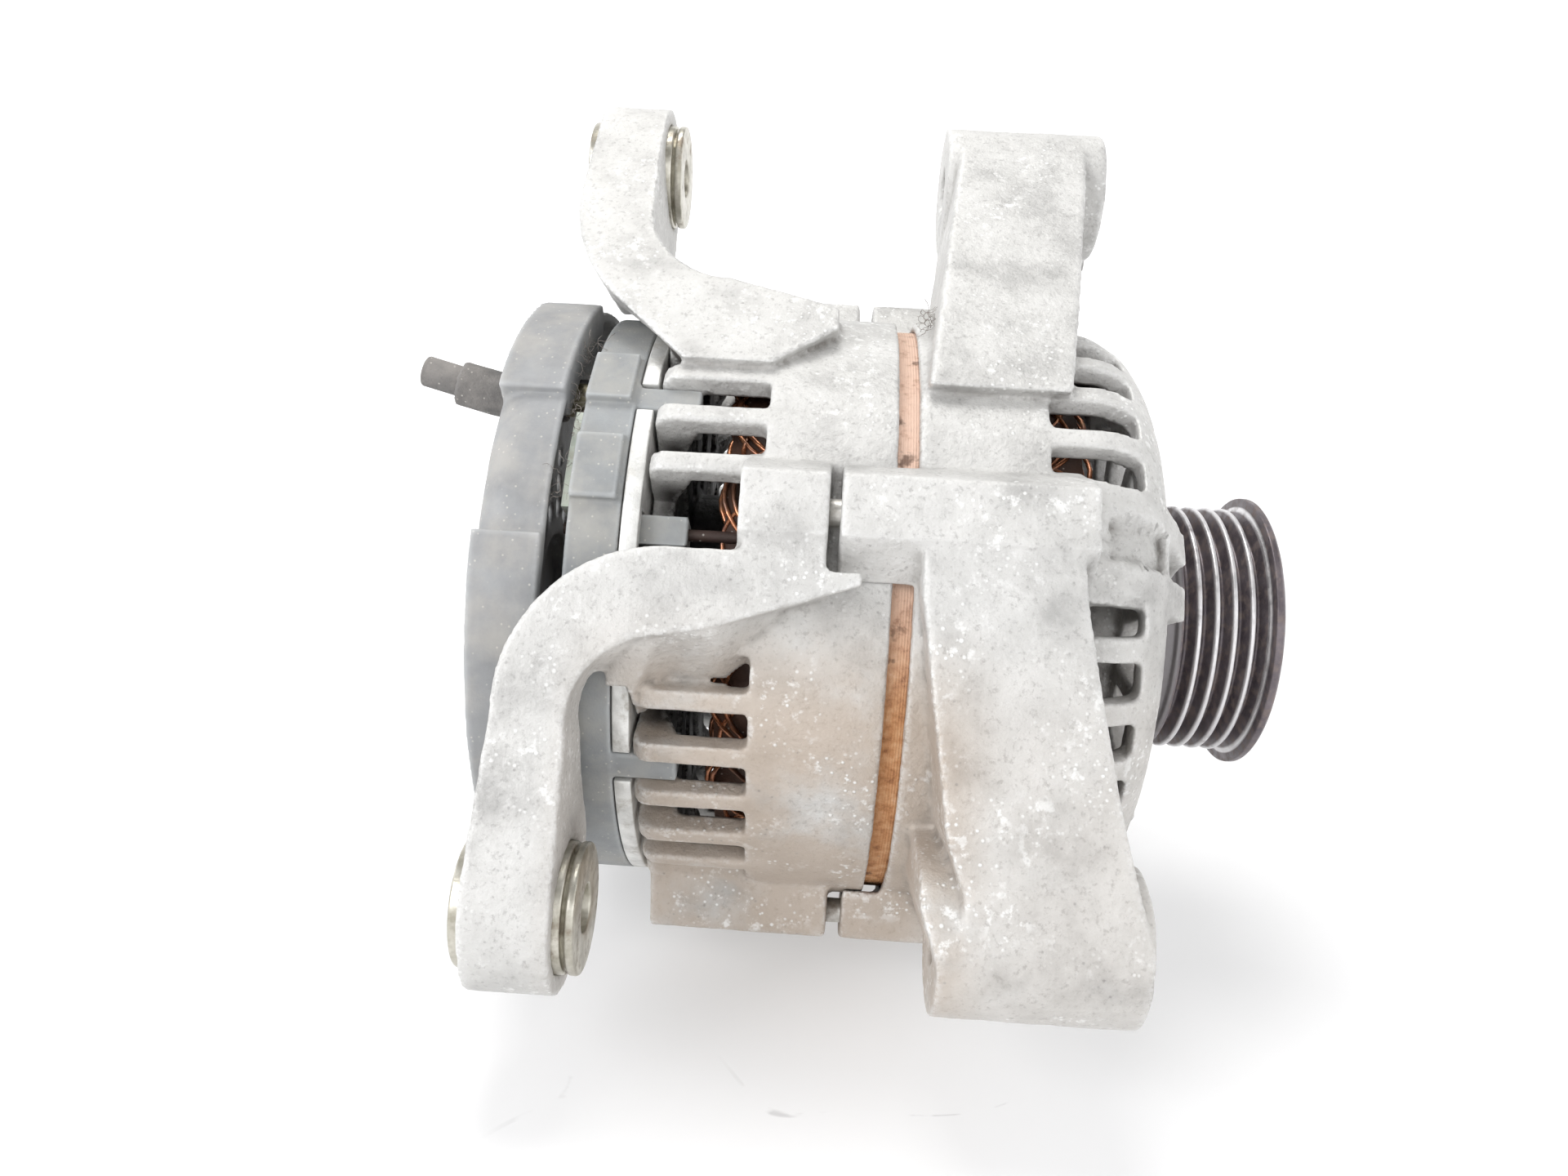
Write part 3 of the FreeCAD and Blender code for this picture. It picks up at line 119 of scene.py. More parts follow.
class Paint:
    """A procedural material: its colour and gloss come from noise and from the place on the object."""

    def __init__(self, name, **settings):
        self.material = bpy.data.materials.new(name)
        self.material.use_nodes = True
        self.tree = self.material.node_tree
        self.shader = self.tree.nodes["Principled BSDF"]
        for socket, amount in settings.items():
            self.shader.inputs[socket.replace("_", " ")].default_value = amount
        self.place = self.node("ShaderNodeTexCoord").outputs["Object"]

    def node(self, kind, **settings):
        made = self.tree.nodes.new(kind)
        for name, amount in settings.items():
            setattr(made, name, amount)
        return made

    def put(self, socket, source):
        """A socket takes either a link or a plain amount."""
        if isinstance(source, bpy.types.NodeSocket):
            self.tree.links.new(source, socket)
        else:
            socket.default_value = source

    def noise(self, size, detail=3.0, roughness=0.55):
        """Soft noise whose features are about size metres across."""
        made = self.node("ShaderNodeTexNoise")
        self.put(made.inputs["Vector"], self.place)
        made.inputs["Scale"].default_value = 1 / size
        made.inputs["Detail"].default_value = detail
        made.inputs["Roughness"].default_value = roughness
        return made.outputs["Fac"]

    def spots(self, size, reach):
        """One where a scattered round spot is, fading to zero at reach of a cell."""
        made = self.node("ShaderNodeTexVoronoi")
        self.put(made.inputs["Vector"], self.place)
        made.inputs["Scale"].default_value = 1 / size
        made.inputs["Randomness"].default_value = 1.0
        return self.span(made.outputs["Distance"], reach, reach * 0.35)

    def span(self, source, low, high, top=1.0):
        """0 at low to top at high, smooth between."""
        made = self.node("ShaderNodeMapRange", interpolation_type="SMOOTHSTEP")
        self.put(made.inputs["Value"], source)
        made.inputs["From Min"].default_value = low
        made.inputs["From Max"].default_value = high
        made.inputs["To Max"].default_value = top
        return made.outputs["Result"]

    def math(self, kind, first, second=0.0, third=0.0):
        made = self.node("ShaderNodeMath", operation=kind)
        for socket, source in zip(made.inputs, (first, second, third)):
            self.put(socket, source)
        return made.outputs[0]

    def axis(self, name):
        made = self.node("ShaderNodeSeparateXYZ")
        self.put(made.inputs[0], self.place)
        return made.outputs[name]

    def radius(self):
        """The distance from the shaft's axis."""
        across, up = self.axis("Y"), self.axis("Z")
        squares = self.math("ADD", self.math("MULTIPLY", across, across), self.math("MULTIPLY", up, up))
        return self.math("SQRT", squares)

    def layer(self, name):
        """A number kept on the mesh's points, such as how worn its edges are."""
        return self.node("ShaderNodeAttribute", attribute_name=name).outputs["Fac"]

    def shades(self, factor, *stops):
        made = self.node("ShaderNodeValToRGB")
        self.put(made.inputs["Fac"], factor)
        ramp = made.color_ramp
        while len(ramp.elements) < len(stops):
            ramp.elements.new(0.5)
        for element, (where, colour) in zip(ramp.elements, stops):
            element.position = where
            element.color = (*colour, 1)
        return made.outputs["Color"]

    def over(self, below, above, factor):
        """The colour above laid over the one below, as far as factor says."""
        made = self.node("ShaderNodeMix", data_type="RGBA")
        self.put(made.inputs[0], factor)
        for socket, colour in ((made.inputs[6], below), (made.inputs[7], above)):
            self.put(socket, (*colour, 1) if isinstance(colour, tuple) else colour)
        return made.outputs[2]

    def finish(self, colour, roughness=None, heights=(), metallic=None):
        """Heights are (source, metres) pairs that make up the fine relief."""
        self.put(self.shader.inputs["Base Color"], colour)
        if roughness is not None:
            self.put(self.shader.inputs["Roughness"], roughness)
        if metallic is not None:
            self.put(self.shader.inputs["Metallic"], metallic)
        normal = None
        for source, depth in heights:
            bump = self.node("ShaderNodeBump")
            bump.inputs["Distance"].default_value = depth
            self.put(bump.inputs["Height"], source)
            if normal is not None:
                self.put(bump.inputs["Normal"], normal)
            normal = bump.outputs["Normal"]
        if normal is not None:
            self.put(self.shader.inputs["Normal"], normal)
        return self.material


def cast_aluminium():
    """Old cast aluminium: grey, mottled, dotted with white oxide, bright on worn edges, beige low behind; painted
    shade darkens its corners, its faces turned to the shaft and its deep inside.
    """
    paint = Paint("cast_aluminium", Specular_IOR_Level=0.45)
    mottle = paint.noise(14 * MM, 6, 0.62)
    colour = paint.shades(
        mottle,
        (0.30, (0.40, 0.395, 0.385)),
        (0.48, (0.56, 0.555, 0.54)),
        (0.70, (0.68, 0.675, 0.66)),
    )
    grain = paint.noise(1.1 * MM, 4, 0.7)
    colour = paint.over(colour, (0.26, 0.25, 0.245), paint.span(grain, 0.52, 0.70, 0.45))
    low = paint.span(paint.axis("Z"), 22 * MM, -6 * MM)
    near = paint.span(paint.axis("Y"), 10 * MM, -40 * MM)
    behind = paint.math("MULTIPLY_ADD", paint.span(paint.axis("X"), -48 * MM, -64 * MM), 0.8, 0.2)
    off_the_ear = paint.span(paint.axis("X"), -128 * MM, -108 * MM)
    stain = paint.math("MULTIPLY", low, near)
    stain = paint.math("MULTIPLY", stain, paint.math("MULTIPLY", behind, off_the_ear))
    stain = paint.math("MULTIPLY", stain, paint.span(paint.noise(22 * MM, 5, 0.6), 0.20, 0.50))
    colour = paint.over(colour, (0.45, 0.345, 0.255), paint.math("MULTIPLY", stain, 0.62))
    patches = paint.span(paint.noise(17 * MM, 4, 0.6), 0.44, 0.66)
    dots = paint.math("MAXIMUM", paint.spots(1.6 * MM, 0.27), paint.spots(3.1 * MM, 0.17))
    dots = paint.math("MULTIPLY", dots, patches)
    bloom = paint.math("MULTIPLY", paint.span(paint.noise(2.6 * MM, 5, 0.65), 0.54, 0.66, 0.75), patches)
    colour = paint.over(colour, (0.86, 0.86, 0.85), paint.math("MAXIMUM", dots, bloom))
    pits = paint.math("MULTIPLY", paint.spots(2.3 * MM, 0.16), paint.span(mottle, 0.60, 0.40, 0.45))
    colour = paint.over(colour, (0.20, 0.19, 0.185), pits)
    # painted shade: corners and creases darkened nearly to black, broken up by noise so it also reads as grime
    hollow = paint.layer("hollow")
    grime_and_corner_shade = paint.math("MULTIPLY", hollow, paint.span(paint.noise(5 * MM, 4), 0.25, 0.60, 0.85))
    colour = paint.over(colour, (0.13, 0.115, 0.10), grime_and_corner_shade)
    # painted shade: inner surfaces that face the shaft, inside the brackets' skin, darkened as if shadowed
    colour = paint.over(colour, (0.085, 0.075, 0.068), paint.math("MULTIPLY", paint.layer("inside"), 0.9))
    # painted shade: everything inside the skin between the two castings, seen through the windows, is painted
    # almost black
    past_rear = paint.span(paint.axis("X"), -115 * MM, -110 * MM)
    short_of_front = paint.span(paint.axis("X"), -26 * MM, -32 * MM)
    painted_deep_shade = paint.math("MULTIPLY", past_rear, short_of_front)
    painted_deep_shade = paint.math("MULTIPLY", painted_deep_shade, paint.span(paint.radius(), 59 * MM, 53 * MM))
    colour = paint.over(colour, (0.035, 0.030, 0.028), paint.math("MULTIPLY", painted_deep_shade, 0.92))
    edge = paint.layer("edge")
    rubbed = paint.math("MULTIPLY", edge, paint.span(grain, 0.35, 0.60, 0.7))
    colour = paint.over(colour, (0.82, 0.82, 0.81), rubbed)
    wet = paint.span(mottle, 0.30, 0.75)
    roughness = paint.math("MULTIPLY_ADD", wet, 0.22, 0.46)
    return paint.finish(
        colour,
        roughness,
        [
            (paint.noise(0.9 * MM, 5, 0.65), 0.22 * MM),
            (paint.noise(3.5 * MM, 3), 0.35 * MM),
            (dots, 0.12 * MM),
        ],
        paint.math("MULTIPLY_ADD", edge, 0.35, 0.28),
    )


def rust():
    """The bare edge of the stator sheets: rusted and flaky, with a painted highlight that makes it paler on top."""
    paint = Paint("stator_rust", Specular_IOR_Level=0.3, Metallic=0.1)
    flakes = paint.noise(2.4 * MM, 7, 0.7)
    colour = paint.shades(
        flakes,
        (0.28, (0.20, 0.075, 0.035)),
        (0.46, (0.50, 0.240, 0.105)),
        (0.60, (0.62, 0.350, 0.185)),
        (0.75, (0.72, 0.50, 0.35)),
    )
    # painted highlight: the top of the stack is paled as if lit from above
    high_up = paint.span(paint.axis("Z"), -5 * MM, 30 * MM)
    painted_top_highlight = paint.math("MULTIPLY", high_up, paint.span(flakes, 0.20, 0.5, 0.8))
    colour = paint.over(colour, (0.80, 0.60, 0.50), painted_top_highlight)
    black = paint.math("MULTIPLY", paint.span(paint.noise(6 * MM, 4, 0.6), 0.60, 0.70), 0.75)
    colour = paint.over(colour, (0.09, 0.045, 0.03), black)
    sheets = paint.node("ShaderNodeTexWave", bands_direction="X", wave_profile="SIN")
    paint.put(sheets.inputs["Vector"], paint.place)
    sheets.inputs["Scale"].default_value = 620
    sheets.inputs["Distortion"].default_value = 0.6
    sheets.inputs["Detail"].default_value = 2
    roughness = paint.math("MULTIPLY_ADD", flakes, 0.3, 0.62)
    return paint.finish(colour, roughness, [(flakes, 0.35 * MM), (sheets.outputs["Fac"], 0.06 * MM)])


def metal(name, dark, light, roughness, metallic=1.0, size=4.0, stain=(0.10, 0.08, 0.06), stained=0.35,
          relief=0.04, turned=False):
    """A metal surface: two tones, stains, uneven gloss and, if turned, fine rings about the shaft."""
    paint = Paint(name, Metallic=metallic)
    tone = paint.noise(size * MM, 5, 0.6)
    colour = paint.shades(tone, (0.32, dark), (0.66, light))
    marks = paint.span(paint.noise(size * 1.7 * MM, 6, 0.65), 0.52, 0.68, stained)
    colour = paint.over(colour, stain, marks)
    gloss = paint.math("MULTIPLY_ADD", paint.noise(size * 0.4 * MM, 4), 0.25, roughness - 0.10)
    gloss = paint.math("MULTIPLY_ADD", marks, 0.5, gloss)
    heights = [(paint.noise(0.7 * MM, 4, 0.6), relief * MM)]
    if turned:
        rings = paint.node("ShaderNodeTexNoise", noise_dimensions="1D")
        paint.put(rings.inputs["W"], paint.math("ADD", paint.radius(), paint.axis("X")))
        rings.inputs["Scale"].default_value = 5200
        heights.append((rings.outputs["Fac"], 0.02 * MM))
    return paint.finish(colour, gloss, heights)


def pulley_steel():
    """Black-coated steel, worn bright on the groove crests with a painted highlight there too, with brown dust and
    a grey collar behind.
    """
    paint = Paint("pulley_steel")
    tone = paint.noise(5 * MM, 5, 0.6)
    colour = paint.shades(tone, (0.3, (0.085, 0.072, 0.082)), (0.7, (0.190, 0.165, 0.178)))
    dust = paint.span(paint.noise(2.2 * MM, 5, 0.65), 0.44, 0.66, 0.6)
    colour = paint.over(colour, (0.27, 0.215, 0.195), dust)
    radius = paint.radius()
    # groove crests: bright partly from real wear and partly as a painted highlight
    wear_and_highlight = paint.span(radius, 25.85 * MM, 26.45 * MM, 0.9)
    wear_and_highlight = paint.math("MULTIPLY", wear_and_highlight, paint.span(radius, 27.4 * MM, 27.0 * MM))
    wear_and_highlight = paint.math("MULTIPLY", wear_and_highlight, paint.span(paint.noise(7 * MM, 4), 0.22, 0.46))
    wear_and_highlight = paint.math("MULTIPLY", wear_and_highlight, paint.span(paint.axis("X"), -8.6 * MM, -8.2 * MM))
    colour = paint.over(colour, (0.80, 0.79, 0.80), wear_and_highlight)
    behind = paint.span(paint.axis("X"), -8.6 * MM, -9.1 * MM)
    colour = paint.over(colour, (0.22, 0.21, 0.215), paint.math("MULTIPLY", behind, 0.9))
    roughness = paint.math("MULTIPLY_ADD", dust, 0.5, 0.34)
    return paint.finish(colour, roughness, [(paint.noise(0.8 * MM, 4), 0.05 * MM)],
                        paint.math("MULTIPLY_ADD", wear_and_highlight, 0.5, 0.45))


def plastic(name, base, dust_colour, dusty, roughness=0.48, dust_low=0.40, relief=0.10):
    """Moulded plastic with a fine grain, a film of dust that is thicker in patches, and rubbed edges."""
    paint = Paint(name, Specular_IOR_Level=0.4)
    tone = paint.noise(9 * MM, 4, 0.6)
    lighter = tuple(min(1.0, channel * 1.35) for channel in base)
    colour = paint.shades(tone, (0.3, base), (0.7, lighter))
    film = paint.span(paint.noise(11 * MM, 6, 0.62), dust_low, 0.72, dusty)
    colour = paint.over(colour, dust_colour, film)
    specks = paint.math("MULTIPLY", paint.spots(1.6 * MM, 0.17), 0.55)
    colour = paint.over(colour, (0.62, 0.59, 0.54), specks)
    edge = paint.math("MULTIPLY", paint.layer("edge"), 0.45)
    colour = paint.over(colour, tuple(min(1.0, channel * 2.2 + 0.05) for channel in base), edge)
    gloss = paint.math("MULTIPLY_ADD", film, 0.35, roughness)
    return paint.finish(colour, gloss, [(paint.noise(0.45 * MM, 3), relief * MM), (tone, 0.12 * MM)])


def enamelled_copper():
    paint = Paint("enamelled_copper", Metallic=0.75, Coat_Weight=0.6, Coat_Roughness=0.18)
    tone = paint.noise(3 * MM, 4)
    colour = paint.shades(
        tone,
        (0.3, (0.16, 0.050, 0.022)),
        (0.55, (0.44, 0.17, 0.075)),
        (0.75, (0.70, 0.34, 0.17)),
    )
    soot = paint.span(paint.noise(7 * MM, 5, 0.6), 0.48, 0.66, 0.7)
    colour = paint.over(colour, (0.05, 0.035, 0.03), soot)
    return paint.finish(colour, paint.math("MULTIPLY_ADD", soot, 0.4, 0.26), [(tone, 0.05 * MM)])


def insulator():
    """Pale, slightly see-through plastic along the rear block's edge."""
    paint = Paint("pale_insulator", Subsurface_Weight=0.35, Roughness=0.42)
    paint.shader.inputs["Subsurface Radius"].default_value = (1.6 * MM, 2.4 * MM, 2.0 * MM)
    tone = paint.noise(6 * MM, 4)
    colour = paint.shades(tone, (0.3, (0.40, 0.44, 0.38)), (0.7, (0.62, 0.66, 0.58)))
    colour = paint.over(colour, (0.30, 0.26, 0.21), paint.span(paint.noise(3 * MM, 5), 0.52, 0.68, 0.5))
    return paint.finish(colour, None, [(paint.noise(0.6 * MM, 3), 0.08 * MM)])


def floor_paper():
    """Matt white paper that glows more the further off it is, with faint smudges and a few creases in front."""
    paint = Paint("floor_paper", Roughness=0.9)
    paint.shader.inputs["Emission Color"].default_value = (1, 1, 1, 1)
    smudge = paint.span(paint.noise(60 * MM, 6, 0.6), 0.62, 0.80, 0.12)
    ridge = paint.math("ABSOLUTE", paint.math("SUBTRACT", paint.noise(130 * MM, 2, 0.5), 0.5))
    broken = paint.span(paint.noise(9 * MM, 3), 0.50, 0.60)
    crease = paint.math("MULTIPLY", paint.span(ridge, 0.0022, 0.0008), broken)
    in_front = paint.span(paint.axis("Y"), -60 * MM, -100 * MM)
    in_front = paint.math("MULTIPLY", in_front, paint.span(paint.axis("X"), -135 * MM, -115 * MM))
    crease = paint.math("MULTIPLY", crease, in_front)
    place = paint.node("ShaderNodeVectorMath", operation="LENGTH")
    paint.put(place.inputs[0], paint.place)
    glow = paint.math("MULTIPLY_ADD", paint.span(place.outputs["Value"], 0.25, 0.9), 0.30, 0.34)
    paint.put(paint.shader.inputs["Emission Strength"], glow)
    colour = paint.over((0.62, 0.62, 0.625), (0.48, 0.46, 0.46), smudge)
    return paint.finish(paint.over(colour, (0.10, 0.09, 0.09), crease))


METALS = {
    "rotor_steel": {
        "dark": (0.055, 0.045, 0.040), "light": (0.12, 0.105, 0.095), "roughness": 0.55, "metallic": 0.7,
        "size": 6.0, "stain": (0.10, 0.045, 0.02), "stained": 0.6,
    },
    "pressed_steel": {
        "dark": (0.10, 0.095, 0.09), "light": (0.24, 0.23, 0.22), "roughness": 0.50, "metallic": 0.8,
        "size": 5.0, "stain": (0.08, 0.05, 0.035), "stained": 0.6,
    },
    "bearing_steel": {
        "dark": (0.50, 0.50, 0.50), "light": (0.72, 0.72, 0.73), "roughness": 0.22, "size": 5.0, "turned": True,
    },
    "plated_steel": {
        "dark": (0.42, 0.40, 0.36), "light": (0.72, 0.71, 0.68), "roughness": 0.34, "metallic": 0.95,
        "size": 3.0, "stain": (0.24, 0.15, 0.09), "stained": 0.5,
    },
    "bush_steel": {
        "dark": (0.36, 0.34, 0.28), "light": (0.66, 0.64, 0.57), "roughness": 0.30, "metallic": 0.95,
        "size": 3.5, "stain": (0.17, 0.11, 0.07), "stained": 0.6,
    },
    "heat_sink_aluminium": {
        "dark": (0.62, 0.62, 0.60), "light": (0.86, 0.86, 0.84), "roughness": 0.42, "metallic": 0.6,
        "stain": (0.36, 0.33, 0.28), "stained": 0.55, "relief": 0.08,
    },
    "diode_metal": {
        "dark": (0.30, 0.29, 0.27), "light": (0.60, 0.58, 0.55), "roughness": 0.4, "metallic": 0.9, "size": 3.0,
    },
    "spring_steel": {"dark": (0.36, 0.35, 0.34), "light": (0.66, 0.65, 0.63), "roughness": 0.3},
    "tinned_brass": {
        "dark": (0.50, 0.44, 0.28), "light": (0.78, 0.72, 0.52), "roughness": 0.3, "size": 2.5,
    },
}
PLASTICS = {
    "cage_plastic": {"base": (0.23, 0.10, 0.04), "dust_colour": (0.2, 0.15, 0.1), "dusty": 0.2},
    "seal_rubber": {
        "base": (0.030, 0.026, 0.024), "dust_colour": (0.2, 0.17, 0.15), "dusty": 0.35, "roughness": 0.6,
    },
    "black_plastic": {"base": (0.050, 0.052, 0.056), "dust_colour": (0.26, 0.235, 0.21), "dusty": 0.55},
    "brush_carbon": {
        "base": (0.035, 0.033, 0.033), "dust_colour": (0.12, 0.07, 0.05), "dusty": 0.3, "roughness": 0.4,
    },
    "boot_rubber": {
        "base": (0.085, 0.083, 0.082), "dust_colour": (0.33, 0.31, 0.29), "dusty": 0.75, "roughness": 0.70,
        "dust_low": 0.30, "relief": 0.25,
    },
}
LOOKS = {
    "cast_aluminium": cast_aluminium(),
    "stator_steel": rust(),
    "copper": enamelled_copper(),
    "pulley_steel": pulley_steel(),
    "pale_insulator": insulator(),
}
LOOKS.update({name: metal(name, **settings) for name, settings in METALS.items()})
LOOKS.update({name: plastic(name, **settings) for name, settings in PLASTICS.items()})
COVER_PLASTIC = plastic(
    "cover_plastic", (0.235, 0.240, 0.245), (0.44, 0.420, 0.390), 0.60, roughness=0.52, dust_low=0.38, relief=0.06)
CARRIER_PLASTIC = plastic(
    "carrier_plastic", (0.225, 0.236, 0.242), (0.42, 0.405, 0.37), 0.65, roughness=0.50, dust_low=0.34, relief=0.06)
SLEEVING = plastic("sleeving", (0.045, 0.028, 0.024), (0.16, 0.12, 0.09), 0.5, roughness=0.55)
VARNISH = plastic("varnish", (0.040, 0.020, 0.014), (0.10, 0.05, 0.03), 0.4, roughness=0.4)
LINT = plastic("lint", (0.20, 0.18, 0.165), (0.34, 0.31, 0.28), 0.5, roughness=0.8)


# ---------------------------------------------------------------- mesh helpers

def finished(piece, node, look=None):
    """The piece stands for a CAD node: it rides on that node's body and takes its slot and look."""
    piece.data.materials.clear()
    piece.data.materials.append(look or LOOKS[slots[node]])
    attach(piece, owner[node])
    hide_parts(node)
    return piece


def new_piece(name, mesh):
    piece = bpy.data.objects.new(name, mesh)
    bpy.context.scene.collection.objects.link(piece)
    return piece


def welded_copy(node, name):
    """A copy of a CAD node's mesh whose faces share their corner points."""
    mesh = nodes[node].data.copy()
    mesh.name = name
    work = bmesh.new()
    work.from_mesh(mesh)
    bmesh.ops.remove_doubles(work, verts=work.verts, dist=2e-6)
    work.to_mesh(mesh)
    work.free()
    return new_piece(name, mesh)


def add_modifier(piece, kind, **settings):
    modifier = piece.modifiers.new(kind.lower(), kind)
    for name, amount in settings.items():
        setattr(modifier, name, amount)
    return modifier


def apply_modifiers(piece):
    graph = bpy.context.evaluated_depsgraph_get()
    mesh = bpy.data.meshes.new_from_object(piece.evaluated_get(graph))
    piece.modifiers.clear()
    piece.data = mesh
    return mesh


def shade(mesh):
    mesh.polygons.foreach_set("use_smooth", [True] * len(mesh.polygons))


def piece_of(work, name):
    """A smooth-shaded object of its own made from a bmesh."""
    mesh = bpy.data.meshes.new(name)
    work.to_mesh(mesh)
    work.free()
    shade(mesh)
    return new_piece(name, mesh)


def mark_edges(mesh):
    """Keeps on each point how far it stands out, lies in a corner (hollow) or faces the shaft (inside).

    The bend is smoothed over the neighbouring points three times, so that the marks have soft borders.
    """
    count = len(mesh.vertices)
    points = np.empty(count * 3)
    mesh.vertices.foreach_get("co", points)
    points = points.reshape(-1, 3)
    normals = np.empty(count * 3)
    mesh.vertex_normals.foreach_get("vector", normals)
    normals = normals.reshape(-1, 3)
    pairs = np.empty(len(mesh.edges) * 2, np.int64)
    mesh.edges.foreach_get("vertices", pairs)
    first, second = pairs.reshape(-1, 2).T
    step = points[second] - points[first]
    length = np.maximum(np.linalg.norm(step, axis=1), 1e-9)
    degree = np.maximum(np.bincount(first, minlength=count) + np.bincount(second, minlength=count), 1)
    bend = np.bincount(first, (normals[first] * step).sum(1) / length, count)
    bend -= np.bincount(second, (normals[second] * step).sum(1) / length, count)
    bend /= degree
    for _ in range(3):
        around = np.bincount(first, bend[second], count) + np.bincount(second, bend[first], count)
        bend = 0.4 * bend + 0.6 * around / degree
    outward = points * (0, 1, 1)
    reach = np.linalg.norm(outward, axis=1)
    inward = -(normals * outward).sum(1) / np.maximum(reach, 1e-9)
    layers = {
        "edge": (-bend - 0.03) / 0.12,
        "hollow": (bend - 0.03) / 0.12,
        "inside": np.clip((inward - 0.1) / 0.3, 0, 1) * (reach < BODY_RADIUS),
    }
    for name, amount in layers.items():
        layer = mesh.attributes.new(name, "FLOAT", "POINT")
        layer.data.foreach_set("value", np.clip(amount, 0, 1).astype(np.float32))


def clouds(name, size, depth=2):
    texture = bpy.data.textures.new(name, "CLOUDS")
    texture.noise_scale = size
    texture.noise_depth = depth
    return texture


WAVY = clouds("wavy", 9 * MM)
GRAINY = clouds("grainy", 1.6 * MM, 3)
BODY_RADIUS = 63 * MM  # the brackets' skin lies within it
MOST_TRIANGLES = 190000


def ramp(distance, width):
    """0 at no distance, rising to 1 at width."""
    return min(max(distance / width, 0), 1)


def sink_pockets(mesh):
    """Lowers the front casting's skin between each pair of big ribs, beside the through bolts."""
    depth, half_wide, first_bolt = 3.4 * MM, 4.2 * MM, 60
    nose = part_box("drive_end_bracket")[1].x
    back, front = nose - 19.5 * MM, nose - 6.5 * MM
    for vertex in mesh.vertices:
        x, y, z = vertex.co
        radius = math.hypot(y, z)
        if radius < 46 * MM:
            continue
        turn = (math.degrees(math.atan2(z, y)) - first_bolt + 45) % 90 - 45
        aside = abs(math.radians(turn) * radius)
        along = ramp(x - back, 1.2 * MM) * ramp(front - x, 1.2 * MM)
        lower = radius - depth * ramp(half_wide - aside, 1.0 * MM) * along
        vertex.co = (x, y * lower / radius, z * lower / radius)


def moulded(node, name, voxel, rounding, wavy=0.0, grainy=0.0, look=None, reshape=None):
    """A node remade with rounded edges and an uneven surface, as cast or moulded pieces have."""
    piece = welded_copy(node, name)
    add_modifier(piece, "REMESH", mode="VOXEL", voxel_size=voxel)
    add_modifier(piece, "SMOOTH", factor=0.5, iterations=rounding)
    for texture, strength in ((WAVY, wavy), (GRAINY, grainy)):
        if strength:
            add_modifier(piece, "DISPLACE", texture=texture, strength=strength, mid_level=0.5,
                         texture_coords="LOCAL")
    mesh = apply_modifiers(piece)
    triangles = len(mesh.polygons) * 2
    if triangles > MOST_TRIANGLES:
        add_modifier(piece, "DECIMATE", ratio=MOST_TRIANGLES / triangles)
        mesh = apply_modifiers(piece)
    if reshape:
        reshape(mesh)
    mark_edges(mesh)
    shade(mesh)
    return finished(piece, node, look)


def bevelled(node, name, width, swell=0.0):
    """A node with its sharp edges bevelled, and grown all round by swell."""
    piece = welded_copy(node, name)
    add_modifier(piece, "BEVEL", width=width, segments=2, limit_method="ANGLE",
                 angle_limit=math.radians(28))
    if swell:
        add_modifier(piece, "DISPLACE", strength=swell, mid_level=0)
    mesh = apply_modifiers(piece)
    shade(mesh)
    mesh.set_sharp_from_angle(angle=math.radians(35))
    return finished(piece, node)


CAST = {"voxel": 0.62 * MM, "rounding": 4, "wavy": 0.35 * MM, "grainy": 0.16 * MM}
moulded("drive_end_bracket", "front_casting", **CAST, reshape=sink_pockets)
moulded("slip_ring_end_bracket", "rear_casting", **CAST)
moulded("rear_cover", "rear_cover_shell", 0.55 * MM, 4, wavy=0.3 * MM, look=COVER_PLASTIC)
moulded("rectifier_carrier", "rear_block", 0.45 * MM, 2, look=CARRIER_PLASTIC)
moulded("output_boot", "lead_boot", 0.35 * MM, 3, wavy=0.3 * MM, grainy=0.1 * MM)
moulded("regulator_body", "regulator_case", 0.45 * MM, 2, look=CARRIER_PLASTIC)

BEVELS = {
    "upper_slide_bush": 0.40,
    "lower_slide_bush": 0.40,
    "negative_heat_sink": 0.30,
    "positive_heat_sink": 0.25,
    "through_bolts": 0.25,
    "pulley_nut": 0.50,
    "cover_nuts": 0.25,
    "output_nut": 0.20,
    "output_stud": 0.15,
    "rectifier_screws": 0.25,
    "brush_holder": 0.30,
    "stator_core": 0.12,
}
for node, width in BEVELS.items():
    bevelled(node, node + "_rounded", width * MM)
bevelled("output_lead", "output_lead_rounded", 0.25 * MM, swell=0.55 * MM)


# ---------------------------------------------------------------- turned and wound pieces

def rounded(outline, radius, steps=3):
    """A closed outline of (x, r) points with each corner replaced by a small curve."""
    result = []
    for before, corner, after in zip(outline[-1:] + outline[:-1], outline, outline[1:] + outline[:1]):
        corner = Vector(corner)
        to_before, to_after = Vector(before) - corner, Vector(after) - corner
        reach = min(radius, to_before.length * 0.45, to_after.length * 0.45)
        start = corner + to_before.normalized() * reach
        end = corner + to_after.normalized() * reach
        for step in range(steps + 1):
            share = step / steps
            result.append(start.lerp(corner, share).lerp(corner.lerp(end, share), share))
    return result


def lathe(name, outline, segments=144):
    """A closed outline of (x, r) points turned about the shaft's axis."""
    work = bmesh.new()
    rings = []
    for step in range(segments):
        angle = math.tau * step / segments
        rings.append([work.verts.new((x, r * math.cos(angle), r * math.sin(angle))) for x, r in outline])
    for ring, after in zip(rings, rings[1:] + rings[:1]):
        for index in range(len(outline)):
            follow = (index + 1) % len(outline)
            work.faces.new((ring[index], ring[follow], after[follow], after[index]))
    bmesh.ops.recalc_face_normals(work, faces=work.faces)
    return piece_of(work, name)


